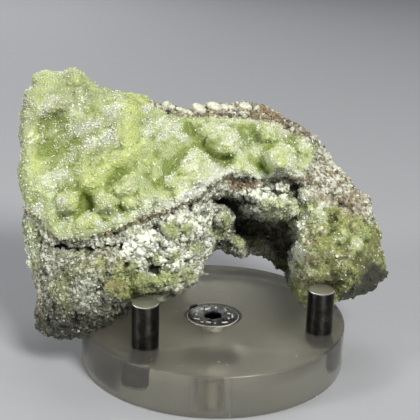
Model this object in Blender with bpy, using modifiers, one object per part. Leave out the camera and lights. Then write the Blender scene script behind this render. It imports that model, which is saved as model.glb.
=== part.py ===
"""Cuprian smithsonite specimen on its display stand.

One natural stone rests on a satin acrylic disc, held from the front and the back by three steel
pegs, with a countersunk screw in the middle of the disc. Units are metres, +Z is up. The origin is
the centre of the disc's flat underside, +X runs along the length of the stone and its green face
looks towards -Y.
"""
import math

import bmesh
import bpy
import numpy as np
from mathutils import Vector, noise

MM = 0.001
OBJECT_NAME = "cuprian_smithsonite_specimen"

# Disc of the stand, in millimetres
DISC_RADIUS = 30.9
DISC_THICKNESS = 10.0
DISC_EDGE_BEVEL = 0.4
DISC_SEGMENTS = 72

# Steel pegs, upright in blind holes of the disc
PEG_RADIUS = 3.0
PEG_HEIGHT_ABOVE_DISC = 10.4
PEG_DEPTH_IN_DISC = 8.0
PEG_CHAMFER = 0.35
PEG_SEGMENTS = 24
PEG_HOLE_CLEARANCE = 0.12
PEG_CENTRES = {
    "peg_front_left": (-14.8, -17.1),
    "peg_front_right": (24.3, -7.2),
    "peg_rear": (-10.5, 22.0),
}

# Countersunk socket screw in the middle of the disc
SCREW_HEAD_RADIUS = 6.1
SCREW_SHANK_RADIUS = 2.9
SCREW_BELOW_TOP = 0.35
SCREW_HEAD_RIM = 0.5
SCREW_TIP_HEIGHT = 1.6
SCREW_TIP_CHAMFER = 0.5
SCREW_SOCKET_ACROSS_FLATS = 4.0
SCREW_SOCKET_DEPTH = 2.4
SCREW_SEGMENTS = 36
COUNTERSINK_RADIUS = 6.9
SCREW_CLEARANCE = 0.25

GAP = 0.3

# The stone is drawn as it is seen: u runs right and v up in a plane that leans back by VIEW_TILT,
# w comes out of that plane towards the viewer. (0, 0, 0) there is VIEW_CENTRE in the stand's frame,
# and the stone's sides run along the lines of sight from VIEW_DISTANCE.
VIEW_TILT = math.radians(19.07)
VIEW_DISTANCE = 231.2
VIEW_CENTRE = (-1.4, 0.0, 35.92)

# Outline of the stone, clockwise from the foot of the green face's left edge, as (u, v)
LEFT_EDGE = [(-43.1, 3.8), (-43.5, 7.8), (-43.1, 12.4), (-43.7, 17.0), (-42.8, 23.4), (-41.9, 28.5)]
FACE_TOP = [(-40.1, 30.7), (-37.3, 30.8), (-34.6, 30.0), (-32.3, 31.4), (-30.5, 31.2), (-29.0, 29.7),
            (-27.5, 28.0), (-24.9, 26.8), (-19.0, 26.1), (-14.8, 24.6), (-13.0, 23.5)]
RIDGE_TOP = [(-10.7, 24.1), (-8.4, 23.2), (-5.7, 22.4), (-3.0, 23.8), (-1.6, 23.2), (0.2, 24.4),
             (3.4, 24.0), (7.9, 25.0), (9.8, 24.2), (13.9, 23.6), (16.4, 21.7), (19.0, 19.9)]
RIGHT_FLANK = [(22.3, 17.7), (25.1, 14.4), (29.6, 9.5), (31.4, 8.0), (32.6, 5.7), (34.9, 4.9),
               (36.1, 2.6), (36.9, -0.1), (39.3, -5.7), (39.2, -8.4), (40.5, -12.9), (41.0, -14.8)]
RIGHT_LEG = [(39.9, -15.9), (36.9, -17.4), (32.9, -18.9), (29.5, -20.1), (26.1, -22.0), (23.9, -23.0),
             (22.5, -22.3), (19.2, -18.1), (16.6, -13.9), (15.6, -12.1)]
ARCH_TOP = [(14.0, -11.0), (12.6, -9.2), (11.2, -10.1), (7.4, -10.7), (5.8, -9.9), (3.9, -8.5),
            (1.8, -8.1), (0.7, -9.1)]
LEFT_LEG = [(-1.9, -13.3), (-3.4, -16.3), (-5.4, -18.1), (-8.1, -20.3), (-13.9, -23.2),
            (-19.3, -26.3), (-25.1, -29.0), (-31.5, -30.3), (-35.6, -29.7), (-37.9, -28.4),
            (-39.3, -25.7), (-39.0, -22.5), (-38.1, -20.5), (-39.8, -16.9), (-41.1, -10.3),
            (-42.1, -2.4), (-42.2, 2.2)]
OUTLINE = LEFT_EDGE + FACE_TOP + RIDGE_TOP + RIGHT_FLANK + RIGHT_LEG + ARCH_TOP + LEFT_LEG

# Brown seam under the green crust, left to right. The crust overhangs what lies below it.
SEAM = [(-41.5, -1.0), (-38.1, -3.8), (-36.2, -6.5), (-33.5, -7.8), (-28.2, -7.4), (-22.2, -5.4),
        (-15.9, -2.5), (-9.1, 0.0), (-5.7, 1.7), (-3.0, 2.9), (-0.6, 5.4), (2.5, 7.4), (3.9, 8.5),
        (6.6, 7.7), (11.6, 7.4), (20.3, 8.3), (24.3, 9.4)]
SEAM_STEP = 3.2
SEAM_BLEND = 0.4
SEAM_FADE_START = 1.0
SEAM_FADE_LENGTH = 5.0

# Depth w of the green crust and of the tan ridge behind it, as (u, v, w)
CRUST_DEPTHS = [
    (-44, 26, -3), (-40, 31, -5), (-32, 31, -4), (-25, 27, -5), (-17, 25, -5), (-10, 23, -9),
    (-44, 8, 4), (-42, -1, 8), (-40, 16, 2), (-36, 14, 2.5), (-30, 20, 1), (-28, 4, 12),
    (-24, 9, 11), (-20, 15, 8), (-19, 22, 1), (-34, -8, 15), (-28, -7.5, 16), (-22, -5, 16),
    (-16, -2.5, 15), (-9, 0, 13), (-5, 2, 11.5), (-0.5, 5.5, 9), (4, 8.5, 6.5), (11.5, 7.5, 5),
    (20, 8.5, 4), (25, 10, 1), (-12, 12, 6), (-12, 19, 0), (-5, 10, 6), (-5, 18, -3), (3, 12, 2),
    (1, 20, -8), (8, 16, -3), (13, 13, 1), (15, 19, -8), (21, 15, -4), (6, 24, -15), (14, 23, -15),
    (20, 19, -12), (27, 12, -5), (33, 6, -6), (-3, 23, -13),
]

# Depth w of the granular matrix below the seam: left leg, middle lobe, right leg
MATRIX_DEPTHS = [
    (-42, -3, 6), (-41, -12, 5), (-39, -20, 4), (-36, -27, 5), (-38, -9, 9), (-33, -11, 12),
    (-26, -10, 13.5), (-19, -8, 13.5), (-12, -4, 12.5), (-7, -1, 10.5), (-31, -19, 12),
    (-24, -19, 12), (-18, -17, 10), (-13, -16, 9), (-13, -20, 6.5), (-8, -11, 10), (-4, -8, 8),
    (-5, -15, 5), (-30, -28, 7), (-24, -27, 4), (-19, -24, 1), (-15, -22, 1), (-2, 0, 7),
    (0, -6, 0), (3, -1, 1), (2, -9, -8), (6, -8, -8), (2, 5, 5), (7, 6, 2), (8, 3, 0), (8, 0, -4),
    (13, 4, 0), (13, -1, -4), (17, 4, 0), (18, -1, -3), (20, -3, -2), (22, 5, 1),
    (27, 8, -1), (27, 2, 0), (31, 1, 0), (30, -7, 2.5), (36, -2, -4), (35, -8, 0),
    (39, -13, -6), (29, -12, 1.5), (27, -16, -2.5), (23.5, -20, -8), (33, -17, -4), (22, -10, -1),
]

# Depth w at which the outline lies: near the front on the crust, on the disc at the feet
OUTLINE_DEPTHS = [
    (-44, 20, -6), (-40, 31, -8), (-30, 31, -7), (-20, 26, -9), (-10, 24, -13), (0, 24, -17),
    (10, 24, -18), (19, 20, -15), (-43, 5, 0), (-42, -5, 0), (-39, -20, 0), (-38, -28, 4.5),
    (-31.5, -30.3, 7), (-25, -29, 4.4), (-19.3, -26.3, -1), (-14, -23.2, -5), (-8, -20, 1),
    (-3.4, -16, -1), (-1, -12, -6), (2, -8, -16), (7, -10.7, -17), (13, -10, -18),
    (16, -12.5, -16), (19.2, -18, -13), (23.9, -23, -9.5), (29, -20, -8.5), (37, -17.4, -10),
    (41, -15, -11), (39, -6, -11), (35, 5, -11), (26, 14, -11), (-25, 0, 0), (0, 8, -8), (25, 0, -10),
]

# Depth w of the unseen back, a lumpy break through the matrix
BACK_DEPTHS = [
    (-42, 28, -11), (-30, 26, -14), (-42, 10, -12), (-40, -8, -12), (-38, -24, -10), (-30, 10, -18),
    (-28, -6, -21), (-28, -20, -20), (-18, 20, -18), (-16, 4, -23), (-14, -12, -23),
    (-14, -20, -21), (-4, 12, -24), (0, 22, -22), (0, 0, -26), (8, 12, -26), (8, -6, -25),
    (16, 20, -22), (18, 6, -25), (20, -10, -22), (28, 4, -21), (28, -14, -18), (37, -6, -16),
    (36, 2, -16), (39, -14, -14), (24, -22, -14),
]

# Hollow under the middle of the crust, open to the arch, with the depth w of its rear wall
HOLLOW = [(-2.9, 1.7), (0.5, 2.9), (6.2, 2.6), (8.0, -0.4), (13.0, -1.8), (18.4, -2.0), (20.3, -5.5),
          (18.6, -9.0), (18.2, -18.0), (8.7, -18.0), (8.4, -9.4), (7.6, -6.4), (4.4, -5.2),
          (5.6, -2.0), (3.8, 0.8), (0.2, 0.9), (-2.9, 0.7)]
HOLLOW_DEPTH = -18.0
HOLLOW_WALL = (-0.2, 0.6)

# Round growths and pits of the front as (u, v, radius, height); a pit has a negative height
GROWTHS = [
    (-31.9, 1.2, 3.0, 2.8), (-35.6, -1.0, 2.2, 1.6), (-23.0, 1.8, 3.5, 3.2), (-18.2, 5.4, 3.1, 2.4),
    (-15.4, 1.6, 2.4, 1.8), (-8.7, 5.4, 1.9, 1.8), (-12.2, 3.6, 2.2, 1.6), (-4.9, 9.8, 4.2, 2.8),
    (-1.6, 6.6, 2.6, 1.8), (3.0, 14.8, 4.0, 3.4), (12.9, 18.4, 2.7, 3.8), (15.8, 11.8, 3.5, 4.2),
    (21.2, 15.2, 2.5, 2.6), (20.4, 11.2, 2.4, 2.0), (8.0, 11.0, 2.8, 2.2), (-38.4, 4.0, 3.4, 1.8),
    (-37.0, 23.0, 3.6, 1.6), (-30.3, 29.2, 2.6, 2.2), (-24.0, 23.6, 3.0, 1.4), (-13.4, 15.5, 3.6, 2.0),
    (-11.0, 20.6, 3.0, 1.6), (-29.6, 13.0, 3.2, 1.4), (-26.0, -3.2, 2.6, 1.6), (-30.6, -4.6, 2.4, 1.4),
    (-13.0, -17.4, 3.2, 2.6), (-10.5, -7.6, 3.2, 2.2), (-15.5, -8.4, 2.8, 2.0), (-4.5, -3.6, 3.2, 2.4),
    (-6.5, -13.0, 3.0, 2.2), (-9.4, -16.6, 2.4, 1.8), (-28.0, -15.0, 4.6, 2.0), (-35.0, -20.0, 4.0, 2.0),
    (-21.5, -19.5, 3.4, 2.0), (-31.0, -25.0, 3.6, 1.8), (-19.6, -13.0, 3.0, 1.8), (2.7, -1.8, 2.8, 3.6),
    (5.4, -8.2, 3.2, 3.4), (-0.6, -6.8, 2.6, 2.0), (10.6, 2.8, 2.6, 2.6), (15.8, 2.6, 2.4, 2.2),
    (30.4, -3.4, 2.4, 2.8), (25.0, -8.6, 3.6, 2.4), (33.8, -11.0, 3.4, 2.2), (29.6, -12.6, 2.8, 2.0),
    (23.6, -14.6, 2.6, 1.8), (24.0, 1.8, 2.6, 1.8), (29.4, 5.6, 2.4, 1.6),
    (-36.2, 14.8, 6.5, -3.0), (-27.6, 1.0, 2.2, -3.6), (-20.2, 7.6, 1.3, -1.8), (9.8, 17.8, 2.0, -3.6),
    (6.6, 18.4, 1.6, -2.2), (11.4, 10.2, 2.0, -3.0), (-20.6, 0.6, 1.2, -1.8), (-17.2, 0.8, 1.2, -1.8),
    (19.0, 5.2, 1.6, -3.0), (31.0, 1.2, 1.6, -2.6), (35.2, -4.6, 1.3, -2.4), (-11.3, -4.2, 1.6, -3.0),
    (-12.6, -13.4, 1.4, -3.0), (-5.6, -10.2, 1.4, -2.4), (-18.0, -15.8, 1.3, -2.0),
]

# Lumps and pits of the broken back, in the same way
BACK_GROWTHS = [
    (-36.0, 18.0, 5.0, 2.0), (-28.0, 22.0, 4.0, 1.8), (-30.0, 6.0, 6.0, 2.4), (-22.0, 12.0, 4.4, 2.2),
    (-36.0, -6.0, 5.0, 2.2), (-24.0, -12.0, 5.4, 2.4), (-12.0, 14.0, 5.0, 2.6), (-14.0, 0.0, 4.6, 2.2),
    (-6.0, 8.0, 4.0, 2.0), (2.0, 16.0, 5.0, 2.4), (8.0, 6.0, 5.4, 2.6), (0.0, -4.0, 3.6, 2.0),
    (16.0, 14.0, 4.6, 2.2), (20.0, 2.0, 4.6, 2.4), (28.0, 8.0, 4.0, 2.0), (30.0, -6.0, 4.6, 2.2),
    (24.0, -14.0, 3.6, 1.8), (36.0, -10.0, 3.4, 1.6), (-18.0, 6.0, 2.8, -2.6), (-8.0, -8.0, 2.6, -2.4),
    (4.0, 1.0, 2.6, -2.6), (14.0, 4.0, 3.0, -2.8), (25.0, -3.0, 2.4, -2.2), (-30.0, -3.0, 2.8, -2.4),
]

# Ridges and grooves that follow a line, as (half width, height, points)
BANDS = [
    (3.6, 2.8, [(-19.0, 25.6), (-20.3, 17.6), (-16.8, 14.3), (-22.6, 10.7), (-28.1, 6.0)]),
    (2.6, 1.6, [(-42.5, 24.0), (-42.0, 12.0), (-41.0, 4.0)]),
    (3.0, -3.6, [(-5.0, 18.2), (-1.2, 14.6), (3.1, 11.4)]),
    (2.0, -2.0, [(-10.5, 7.7), (-7.2, 12.3), (-4.9, 14.0)]),
    (1.1, -3.4, [(-38.5, -9.6), (-30.0, -9.7), (-21.5, -9.0)]),
    (1.9, -2.8, [(27.2, 3.0), (28.7, -0.4), (28.1, -3.7)]),
    (1.7, -2.6, [(-2.0, 21.0), (6.0, 20.6), (13.0, 20.6)]),
]

# Roundness at the outline: a fillet over EDGE_ROUNDING, from EDGE_WALL of the full thickness. The
# front lies no further than FRONT_DIP behind the outline, and the back at least BACK_REACH behind.
EDGE_ROUNDING = 6.5
EDGE_WALL = 0.3
FRONT_DIP = 3.0
BACK_REACH = 4.0

# Where the stone touches down, as (x, y, radius) on the disc; elsewhere its underside rises.
# Past the disc's rim its left foot hangs a little lower than the disc's top.
FEET = [(-32.0, -14.5, 10.5), (-19.0, 12.0, 5.0), (22.4, 1.5, 2.6)]
FOOT_SLOPE = 0.55
UNDERSIDE_RISE = 9.0
OVERHANG_DROP = 2.0
OVERHANG_SLOPE = 2.0

# Room that the stone leaves around the disc's rim and the pegs, before and after its last remesh
RIM_MARGIN = 0.6
DISC_CUT_MARGIN = 0.5
PEG_MARGIN = 0.9
CUTTER_OVERSHOOT = 1.0

# Mesh sizes and the lumpiness that covers the whole stone
FIRST_VOXEL = 1.0
SECOND_VOXEL = 0.9
LUMP_SIZE = 5.0
LUMP_HEIGHT = 0.8
GRAIN_SIZE = 2.2
GRAIN_HEIGHT = 0.5
GROWTH_RELIEF = 1.25
STONE_TRIANGLES = 7700
PRISM_HALF_DEPTH = 14.0


def new_material(name, colour, roughness, metallic=0.0, transmission=0.0):
    """Return a Principled material with one finish all over."""
    material = bpy.data.materials.new(name)
    material.use_nodes = True
    shader = material.node_tree.nodes["Principled BSDF"]
    shader.inputs["Base Color"].default_value = (*colour, 1.0)
    shader.inputs["Roughness"].default_value = roughness
    shader.inputs["Metallic"].default_value = metallic
    shader.inputs["Transmission Weight"].default_value = transmission
    return material


def new_collection(name):
    """Return a new collection under the scene's own."""
    collection = bpy.data.collections.new(name)
    bpy.context.scene.collection.children.link(collection)
    return collection


def keep(obj, name, collection, material=None):
    """Name an object that an operator just made and move it to its collection."""
    obj.name = name
    obj.data.name = name
    for owner in list(obj.users_collection):
        owner.objects.unlink(obj)
    collection.objects.link(obj)
    if material:
        obj.data.materials.clear()
        obj.data.materials.append(material)
    return obj


def cylinder(name, radius, low, high, segments, collection, centre=(0.0, 0.0), material=None):
    """Add an upright cylinder between two heights."""
    bpy.ops.mesh.primitive_cylinder_add(
        vertices=segments, radius=radius * MM, depth=(high - low) * MM,
        location=(centre[0] * MM, centre[1] * MM, 0.5 * (low + high) * MM))
    return keep(bpy.context.object, name, collection, material)


def shade_round(obj):
    """Shade an object's round walls smooth and keep its corners sharp."""
    obj.data.shade_smooth()
    obj.data.set_sharp_from_angle(angle=math.radians(30.0))


def mark_cutter(cutter):
    """Show a cutter as wire and leave it out of renders."""
    cutter.display_type = 'WIRE'
    cutter.hide_render = True


def cut(target, cutter):
    """Take one cutter out of a target with a Boolean modifier."""
    mark_cutter(cutter)
    modifier = target.modifiers.new("cut " + cutter.name, 'BOOLEAN')
    modifier.operation = 'DIFFERENCE'
    modifier.solver = 'EXACT'
    modifier.object = cutter


def bevel_edges(obj, width, angle_degrees=40.0):
    """Break an object's sharp edges with a small bevel."""
    modifier = obj.modifiers.new("edges", 'BEVEL')
    modifier.width = width * MM
    modifier.segments = 1
    modifier.limit_method = 'ANGLE'
    modifier.angle_limit = math.radians(angle_degrees)


def turned(name, profile, segments, collection, material=None):
    """Turn an (r, z) profile, given from the top axis point down the outside, about Z."""
    mesh = bpy.data.meshes.new(name)
    points = [(radius * MM, 0.0, height * MM) for radius, height in profile]
    edges = [(i, i + 1) for i in range(len(points) - 1)]
    mesh.from_pydata(points, edges, [])
    obj = bpy.data.objects.new(name, mesh)
    screw = obj.modifiers.new("turn", 'SCREW')
    screw.steps = segments
    screw.render_steps = segments
    screw.use_merge_vertices = True
    screw.merge_threshold = 0.00001
    bpy.context.scene.collection.objects.link(obj)
    return keep(obj, name, collection, material)


def smooth_step(low, high, value):
    """Return 0 below low, 1 above high and a smooth rise between them."""
    share = np.clip((value - low) / (high - low), 0.0, 1.0)
    return share * share * (3.0 - 2.0 * share)


def surface_through(points, u, v):
    """Return the thin-plate surface through (u, v, w) points, read at every u and v."""
    points = np.array(points, dtype=float)
    count = len(points)

    def kernel(distance_squared):
        return 0.5 * distance_squared * np.log(distance_squared + 1e-9)

    spread = points[:, None, :2] - points[None, :, :2]
    system = np.zeros((count + 3, count + 3))
    system[:count, :count] = kernel((spread ** 2).sum(axis=2)) + 2.0 * np.eye(count)
    system[:count, count] = 1.0
    system[:count, count + 1:] = points[:, :2]
    system[count, :count] = 1.0
    system[count + 1:, :count] = points[:, :2].T
    weights = np.linalg.solve(system, np.append(points[:, 2], np.zeros(3)))
    depth = weights[count] + weights[count + 1] * u + weights[count + 2] * v
    for (point_u, point_v, _), weight in zip(points, weights):
        depth += weight * kernel((u - point_u) ** 2 + (v - point_v) ** 2)
    return depth


def distance_to_line(points, u, v, closed=False):
    """Return each (u, v) point's distance from a polyline."""
    ends = points[1:] + points[:1] if closed else points[1:]
    nearest = np.full(len(u), np.inf)
    for (start_u, start_v), (end_u, end_v) in zip(points, ends):
        along_u, along_v = end_u - start_u, end_v - start_v
        share = ((u - start_u) * along_u + (v - start_v) * along_v) / (along_u ** 2 + along_v ** 2)
        share = np.clip(share, 0.0, 1.0)
        gap = np.hypot(u - start_u - share * along_u, v - start_v - share * along_v)
        nearest = np.minimum(nearest, gap)
    return nearest


def inside_polygon(points, u, v):
    """Return whether each (u, v) point lies in a closed polygon."""
    inside = np.zeros(len(u), dtype=bool)
    for (u0, v0), (u1, v1) in zip(points, points[1:] + points[:1]):
        if v0 == v1:
            continue
        crosses = (v0 > v) != (v1 > v)
        inside ^= crosses & (u < (u1 - u0) * (v - v0) / (v1 - v0) + u0)
    return inside


def growth_height(growths, u, v):
    """Return the height that round growths and pits add at every u and v."""
    total = np.zeros(len(u))
    for centre_u, centre_v, radius, height in growths:
        reach = np.hypot(u - centre_u, v - centre_v) / radius
        total += GROWTH_RELIEF * height * np.sqrt(np.clip(1.0 - reach ** 2, 0.0, 1.0))
    return total


def front_depth(u, v):
    """Return the depth of the stone's front: crust, matrix below the seam, hollow, growths."""
    crust = surface_through(CRUST_DEPTHS, u, v)
    matrix = surface_through(MATRIX_DEPTHS, u, v)
    seam_u, seam_v = zip(*SEAM)
    seam_end = seam_u[-1]
    above = v - np.interp(u, seam_u, seam_v)
    shelf = np.minimum(matrix, crust - SEAM_STEP)
    beside_seam = smooth_step(seam_end - SEAM_FADE_START, seam_end + SEAM_FADE_LENGTH, u)
    matrix = shelf * (1.0 - beside_seam) + matrix * beside_seam
    blend = SEAM_BLEND + SEAM_FADE_LENGTH * beside_seam
    share = smooth_step(-blend, blend, above)
    depth = matrix * (1.0 - share) + crust * share

    depth += growth_height(GROWTHS, u, v)
    for half_width, height, line in BANDS:
        reach = distance_to_line(line, u, v) / half_width
        depth += height * np.clip(1.0 - reach ** 2, 0.0, 1.0)

    signed = distance_to_line(HOLLOW, u, v, closed=True)
    signed = np.where(inside_polygon(HOLLOW, u, v), signed, -signed)
    open_share = smooth_step(*HOLLOW_WALL, signed)
    return depth * (1.0 - open_share) + HOLLOW_DEPTH * open_share


def to_stand_frame(u, v, w):
    """Turn drawn (u, v) at depth w into x, y, z of the stand, along the lines of sight."""
    nearness = 1.0 - w / VIEW_DISTANCE
    right, up = u * nearness, v * nearness
    x = VIEW_CENTRE[0] + right
    y = VIEW_CENTRE[1] + up * math.sin(VIEW_TILT) - w * math.cos(VIEW_TILT)
    z = VIEW_CENTRE[2] + up * math.cos(VIEW_TILT) + w * math.sin(VIEW_TILT)
    return np.stack([x, y, z], axis=1)


def lowest_allowed(x, y):
    """Return the height of the stone's underside: on the disc at the feet, higher between them."""
    rise = np.full(len(x), np.inf)
    for foot_x, foot_y, radius in FEET:
        beyond = np.maximum(np.hypot(x - foot_x, y - foot_y) - radius, 0.0)
        rise = np.minimum(rise, FOOT_SLOPE * beyond)
    rim = DISC_RADIUS + RIM_MARGIN
    past_rim = smooth_step(rim, rim + OVERHANG_SLOPE, np.hypot(x, y))
    return DISC_THICKNESS + GAP + np.minimum(rise, UNDERSIDE_RISE) - OVERHANG_DROP * past_rim


def keep_clear_of_stand(points):
    """Move points of the stone up off the disc and sideways off the pegs."""
    x, y, z = points.T.copy()
    over_disc = np.hypot(x, y) < DISC_RADIUS + RIM_MARGIN
    z = np.where(over_disc, np.maximum(z, DISC_THICKNESS + GAP), z)
    peg_top = DISC_THICKNESS + PEG_HEIGHT_ABOVE_DISC + PEG_MARGIN
    reach = PEG_RADIUS + PEG_MARGIN
    for peg_x, peg_y in PEG_CENTRES.values():
        away_x, away_y = x - peg_x, y - peg_y
        distance = np.maximum(np.hypot(away_x, away_y), 1e-6)
        touching = (distance < reach) & (z < peg_top)
        lift = touching & (peg_top - z < reach - distance)
        push = touching & ~lift
        z = np.where(lift, peg_top, z)
        x = np.where(push, peg_x + away_x / distance * reach, x)
        y = np.where(push, peg_y + away_y / distance * reach, y)
    return np.stack([x, y, z], axis=1)


def read_points(mesh):
    """Return a mesh's points in millimetres."""
    points = np.empty(len(mesh.vertices) * 3)
    mesh.vertices.foreach_get("co", points)
    return points.reshape(-1, 3) / MM


def write_points(mesh, points):
    """Give a mesh new points, in millimetres."""
    mesh.vertices.foreach_set("co", (points * MM).ravel())
    mesh.update()


def baked(obj, weld=0.0):
    """Replace an object's data by its evaluated mesh and drop its modifiers."""
    depsgraph = bpy.context.evaluated_depsgraph_get()
    mesh = bpy.data.meshes.new_from_object(obj.evaluated_get(depsgraph))
    if weld:
        shape = bmesh.new()
        shape.from_mesh(mesh)
        bmesh.ops.remove_doubles(shape, verts=shape.verts, dist=weld * MM)
        shape.to_mesh(mesh)
        shape.free()
    plain = bpy.data.objects.new(obj.name + "_baked", mesh)
    plain.matrix_world = obj.matrix_world
    bpy.context.scene.collection.objects.link(plain)
    bpy.data.objects.remove(obj)
    return plain


def remesh(obj, voxel):
    """Rebuild an object's surface on an even grid."""
    modifier = obj.modifiers.new("even mesh", 'REMESH')
    modifier.mode = 'VOXEL'
    modifier.voxel_size = voxel * MM
    return baked(obj)


def outline_prism():
    """Extrude the stone's outline through the drawing plane."""
    curve = bpy.data.curves.new("stone_outline", 'CURVE')
    curve.dimensions = '2D'
    curve.fill_mode = 'BOTH'
    curve.extrude = PRISM_HALF_DEPTH * MM
    spline = curve.splines.new('BEZIER')
    spline.bezier_points.add(len(OUTLINE) - 1)
    for knot, (u, v) in zip(spline.bezier_points, OUTLINE):
        knot.co = (u * MM, v * MM, 0.0)
        knot.handle_left_type = 'AUTO'
        knot.handle_right_type = 'AUTO'
    spline.use_cyclic_u = True
    spline.resolution_u = 4
    obj = bpy.data.objects.new("stone_outline", curve)
    bpy.context.scene.collection.objects.link(obj)
    return baked(obj, weld=0.01)


def shape_depths(mesh):
    """Move the prism's points to the stone's front and back, and into the stand's frame."""
    u, v, w = read_points(mesh).T
    inset = np.clip(distance_to_line(OUTLINE, u, v, closed=True) / EDGE_ROUNDING, 0.0, 1.0)
    fillet = EDGE_WALL + (1.0 - EDGE_WALL) * np.sqrt(1.0 - (1.0 - inset) ** 2)
    middle = surface_through(OUTLINE_DEPTHS, u, v)
    front = np.maximum(front_depth(u, v), middle - FRONT_DIP)
    back = surface_through(BACK_DEPTHS, u, v) - growth_height(BACK_GROWTHS, u, v)
    back = np.minimum(back, np.minimum(middle, front) - BACK_REACH)
    middle = np.minimum(middle, front)
    share = np.clip(0.5 + 0.5 * w / PRISM_HALF_DEPTH, 0.0, 1.0)
    front = middle + (front - middle) * fillet
    back = middle + (back - middle) * fillet
    write_points(mesh, to_stand_frame(u, v, back + (front - back) * share))


def roughen(mesh):
    """Push points along their normals by two sizes of smooth noise."""
    points = read_points(mesh)
    normals = np.empty(len(points) * 3)
    mesh.vertices.foreach_get("normal", normals)
    normals = normals.reshape(-1, 3)
    height = np.empty(len(points))
    for i, point in enumerate(points):
        lump = noise.noise(Vector(point / LUMP_SIZE))
        grain = noise.noise(Vector(point / GRAIN_SIZE) + Vector((7.0, 3.0, 5.0)))
        height[i] = LUMP_HEIGHT * lump + GRAIN_HEIGHT * grain
    write_points(mesh, points + normals * height[:, None])


def raise_underside(mesh):
    """Lift the stone's underside between its feet."""
    points = read_points(mesh)
    points[:, 2] = np.maximum(points[:, 2], lowest_allowed(points[:, 0], points[:, 1]))
    write_points(mesh, points)


def thin_out(obj, triangles):
    """Reduce a mesh to about a number of triangles."""
    shape = bmesh.new()
    shape.from_mesh(obj.data)
    bmesh.ops.triangulate(shape, faces=shape.faces)
    shape.to_mesh(obj.data)
    shape.free()
    modifier = obj.modifiers.new("fewer triangles", 'DECIMATE')
    modifier.ratio = triangles / len(obj.data.polygons)
    return baked(obj)


def build_stone(collection, cutters):
    """Make the stone as one closed body, clear of the disc and the pegs."""
    stone = remesh(outline_prism(), FIRST_VOXEL)
    shape_depths(stone.data)
    raise_underside(stone.data)
    stone = remesh(stone, SECOND_VOXEL)
    roughen(stone.data)
    write_points(stone.data, keep_clear_of_stand(read_points(stone.data)))
    stone = remesh(stone, SECOND_VOXEL)
    stone = thin_out(stone, STONE_TRIANGLES)
    material = new_material("green smithsonite", (0.45, 0.55, 0.22), 0.5)
    keep(stone, "smithsonite_stone", collection, material)
    room = cylinder("room_for_disc", DISC_RADIUS + DISC_CUT_MARGIN, 0.0, DISC_THICKNESS + GAP,
                    DISC_SEGMENTS, cutters)
    cut(stone, room)
    for name, centre in PEG_CENTRES.items():
        room = cylinder("room_for_" + name, PEG_RADIUS + GAP, DISC_THICKNESS - CUTTER_OVERSHOOT,
                        DISC_THICKNESS + PEG_HEIGHT_ABOVE_DISC + GAP, PEG_SEGMENTS, cutters, centre)
        cut(stone, room)
    return stone


def build_disc(parts, cutters):
    """Make the acrylic disc with its blind peg holes and the screw's countersink."""
    acrylic = new_material("satin acrylic", (0.62, 0.62, 0.52), 0.35, transmission=0.8)
    disc = cylinder("acrylic_disc", DISC_RADIUS, 0.0, DISC_THICKNESS, DISC_SEGMENTS, parts,
                    material=acrylic)
    bevel_edges(disc, DISC_EDGE_BEVEL)
    for name, centre in PEG_CENTRES.items():
        bottom = DISC_THICKNESS - PEG_DEPTH_IN_DISC - GAP
        hole = cylinder("hole_of_" + name, PEG_RADIUS + PEG_HOLE_CLEARANCE, bottom,
                        DISC_THICKNESS + CUTTER_OVERSHOOT, PEG_SEGMENTS, cutters, centre)
        cut(disc, hole)
    cone_depth = COUNTERSINK_RADIUS - SCREW_SHANK_RADIUS - SCREW_CLEARANCE
    shank = SCREW_SHANK_RADIUS + SCREW_CLEARANCE
    mouth = DISC_THICKNESS + CUTTER_OVERSHOOT
    rim_foot = DISC_THICKNESS - SCREW_BELOW_TOP - SCREW_HEAD_RIM
    profile = [(0.0, mouth), (COUNTERSINK_RADIUS, mouth), (COUNTERSINK_RADIUS, rim_foot),
               (shank, rim_foot - cone_depth), (shank, SCREW_TIP_HEIGHT - GAP),
               (0.0, SCREW_TIP_HEIGHT - GAP)]
    cut(disc, turned("screw_hole", profile, SCREW_SEGMENTS, cutters))
    disc = keep(baked(disc), "acrylic_disc", parts)
    shade_round(disc)


def build_pegs(parts):
    """Make the three upright dowel pegs, with a small chamfer at both ends."""
    steel = new_material("ground steel", (0.52, 0.50, 0.48), 0.28, metallic=1.0)
    for name, centre in PEG_CENTRES.items():
        peg = cylinder(name, PEG_RADIUS, DISC_THICKNESS - PEG_DEPTH_IN_DISC,
                       DISC_THICKNESS + PEG_HEIGHT_ABOVE_DISC, PEG_SEGMENTS, parts, centre, steel)
        bevel_edges(peg, PEG_CHAMFER)
        shade_round(peg)


def build_screw(parts, cutters):
    """Make the countersunk screw with a six-sided socket."""
    steel = new_material("bright steel", (0.60, 0.60, 0.60), 0.22, metallic=1.0)
    top = DISC_THICKNESS - SCREW_BELOW_TOP
    rim_foot = top - SCREW_HEAD_RIM
    neck = rim_foot - (SCREW_HEAD_RADIUS - SCREW_SHANK_RADIUS)
    profile = [(0.0, top), (SCREW_HEAD_RADIUS, top), (SCREW_HEAD_RADIUS, rim_foot),
               (SCREW_SHANK_RADIUS, neck),
               (SCREW_SHANK_RADIUS, SCREW_TIP_HEIGHT + SCREW_TIP_CHAMFER),
               (SCREW_SHANK_RADIUS - SCREW_TIP_CHAMFER, SCREW_TIP_HEIGHT), (0.0, SCREW_TIP_HEIGHT)]
    screw = turned("centre_screw", profile, SCREW_SEGMENTS, parts, steel)
    socket = cylinder("screw_socket", 0.5 * SCREW_SOCKET_ACROSS_FLATS / math.cos(math.pi / 6.0),
                      top - SCREW_SOCKET_DEPTH, top + CUTTER_OVERSHOOT, 6, cutters)
    cut(screw, socket)
    shade_round(keep(baked(screw), "centre_screw", parts))


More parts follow.
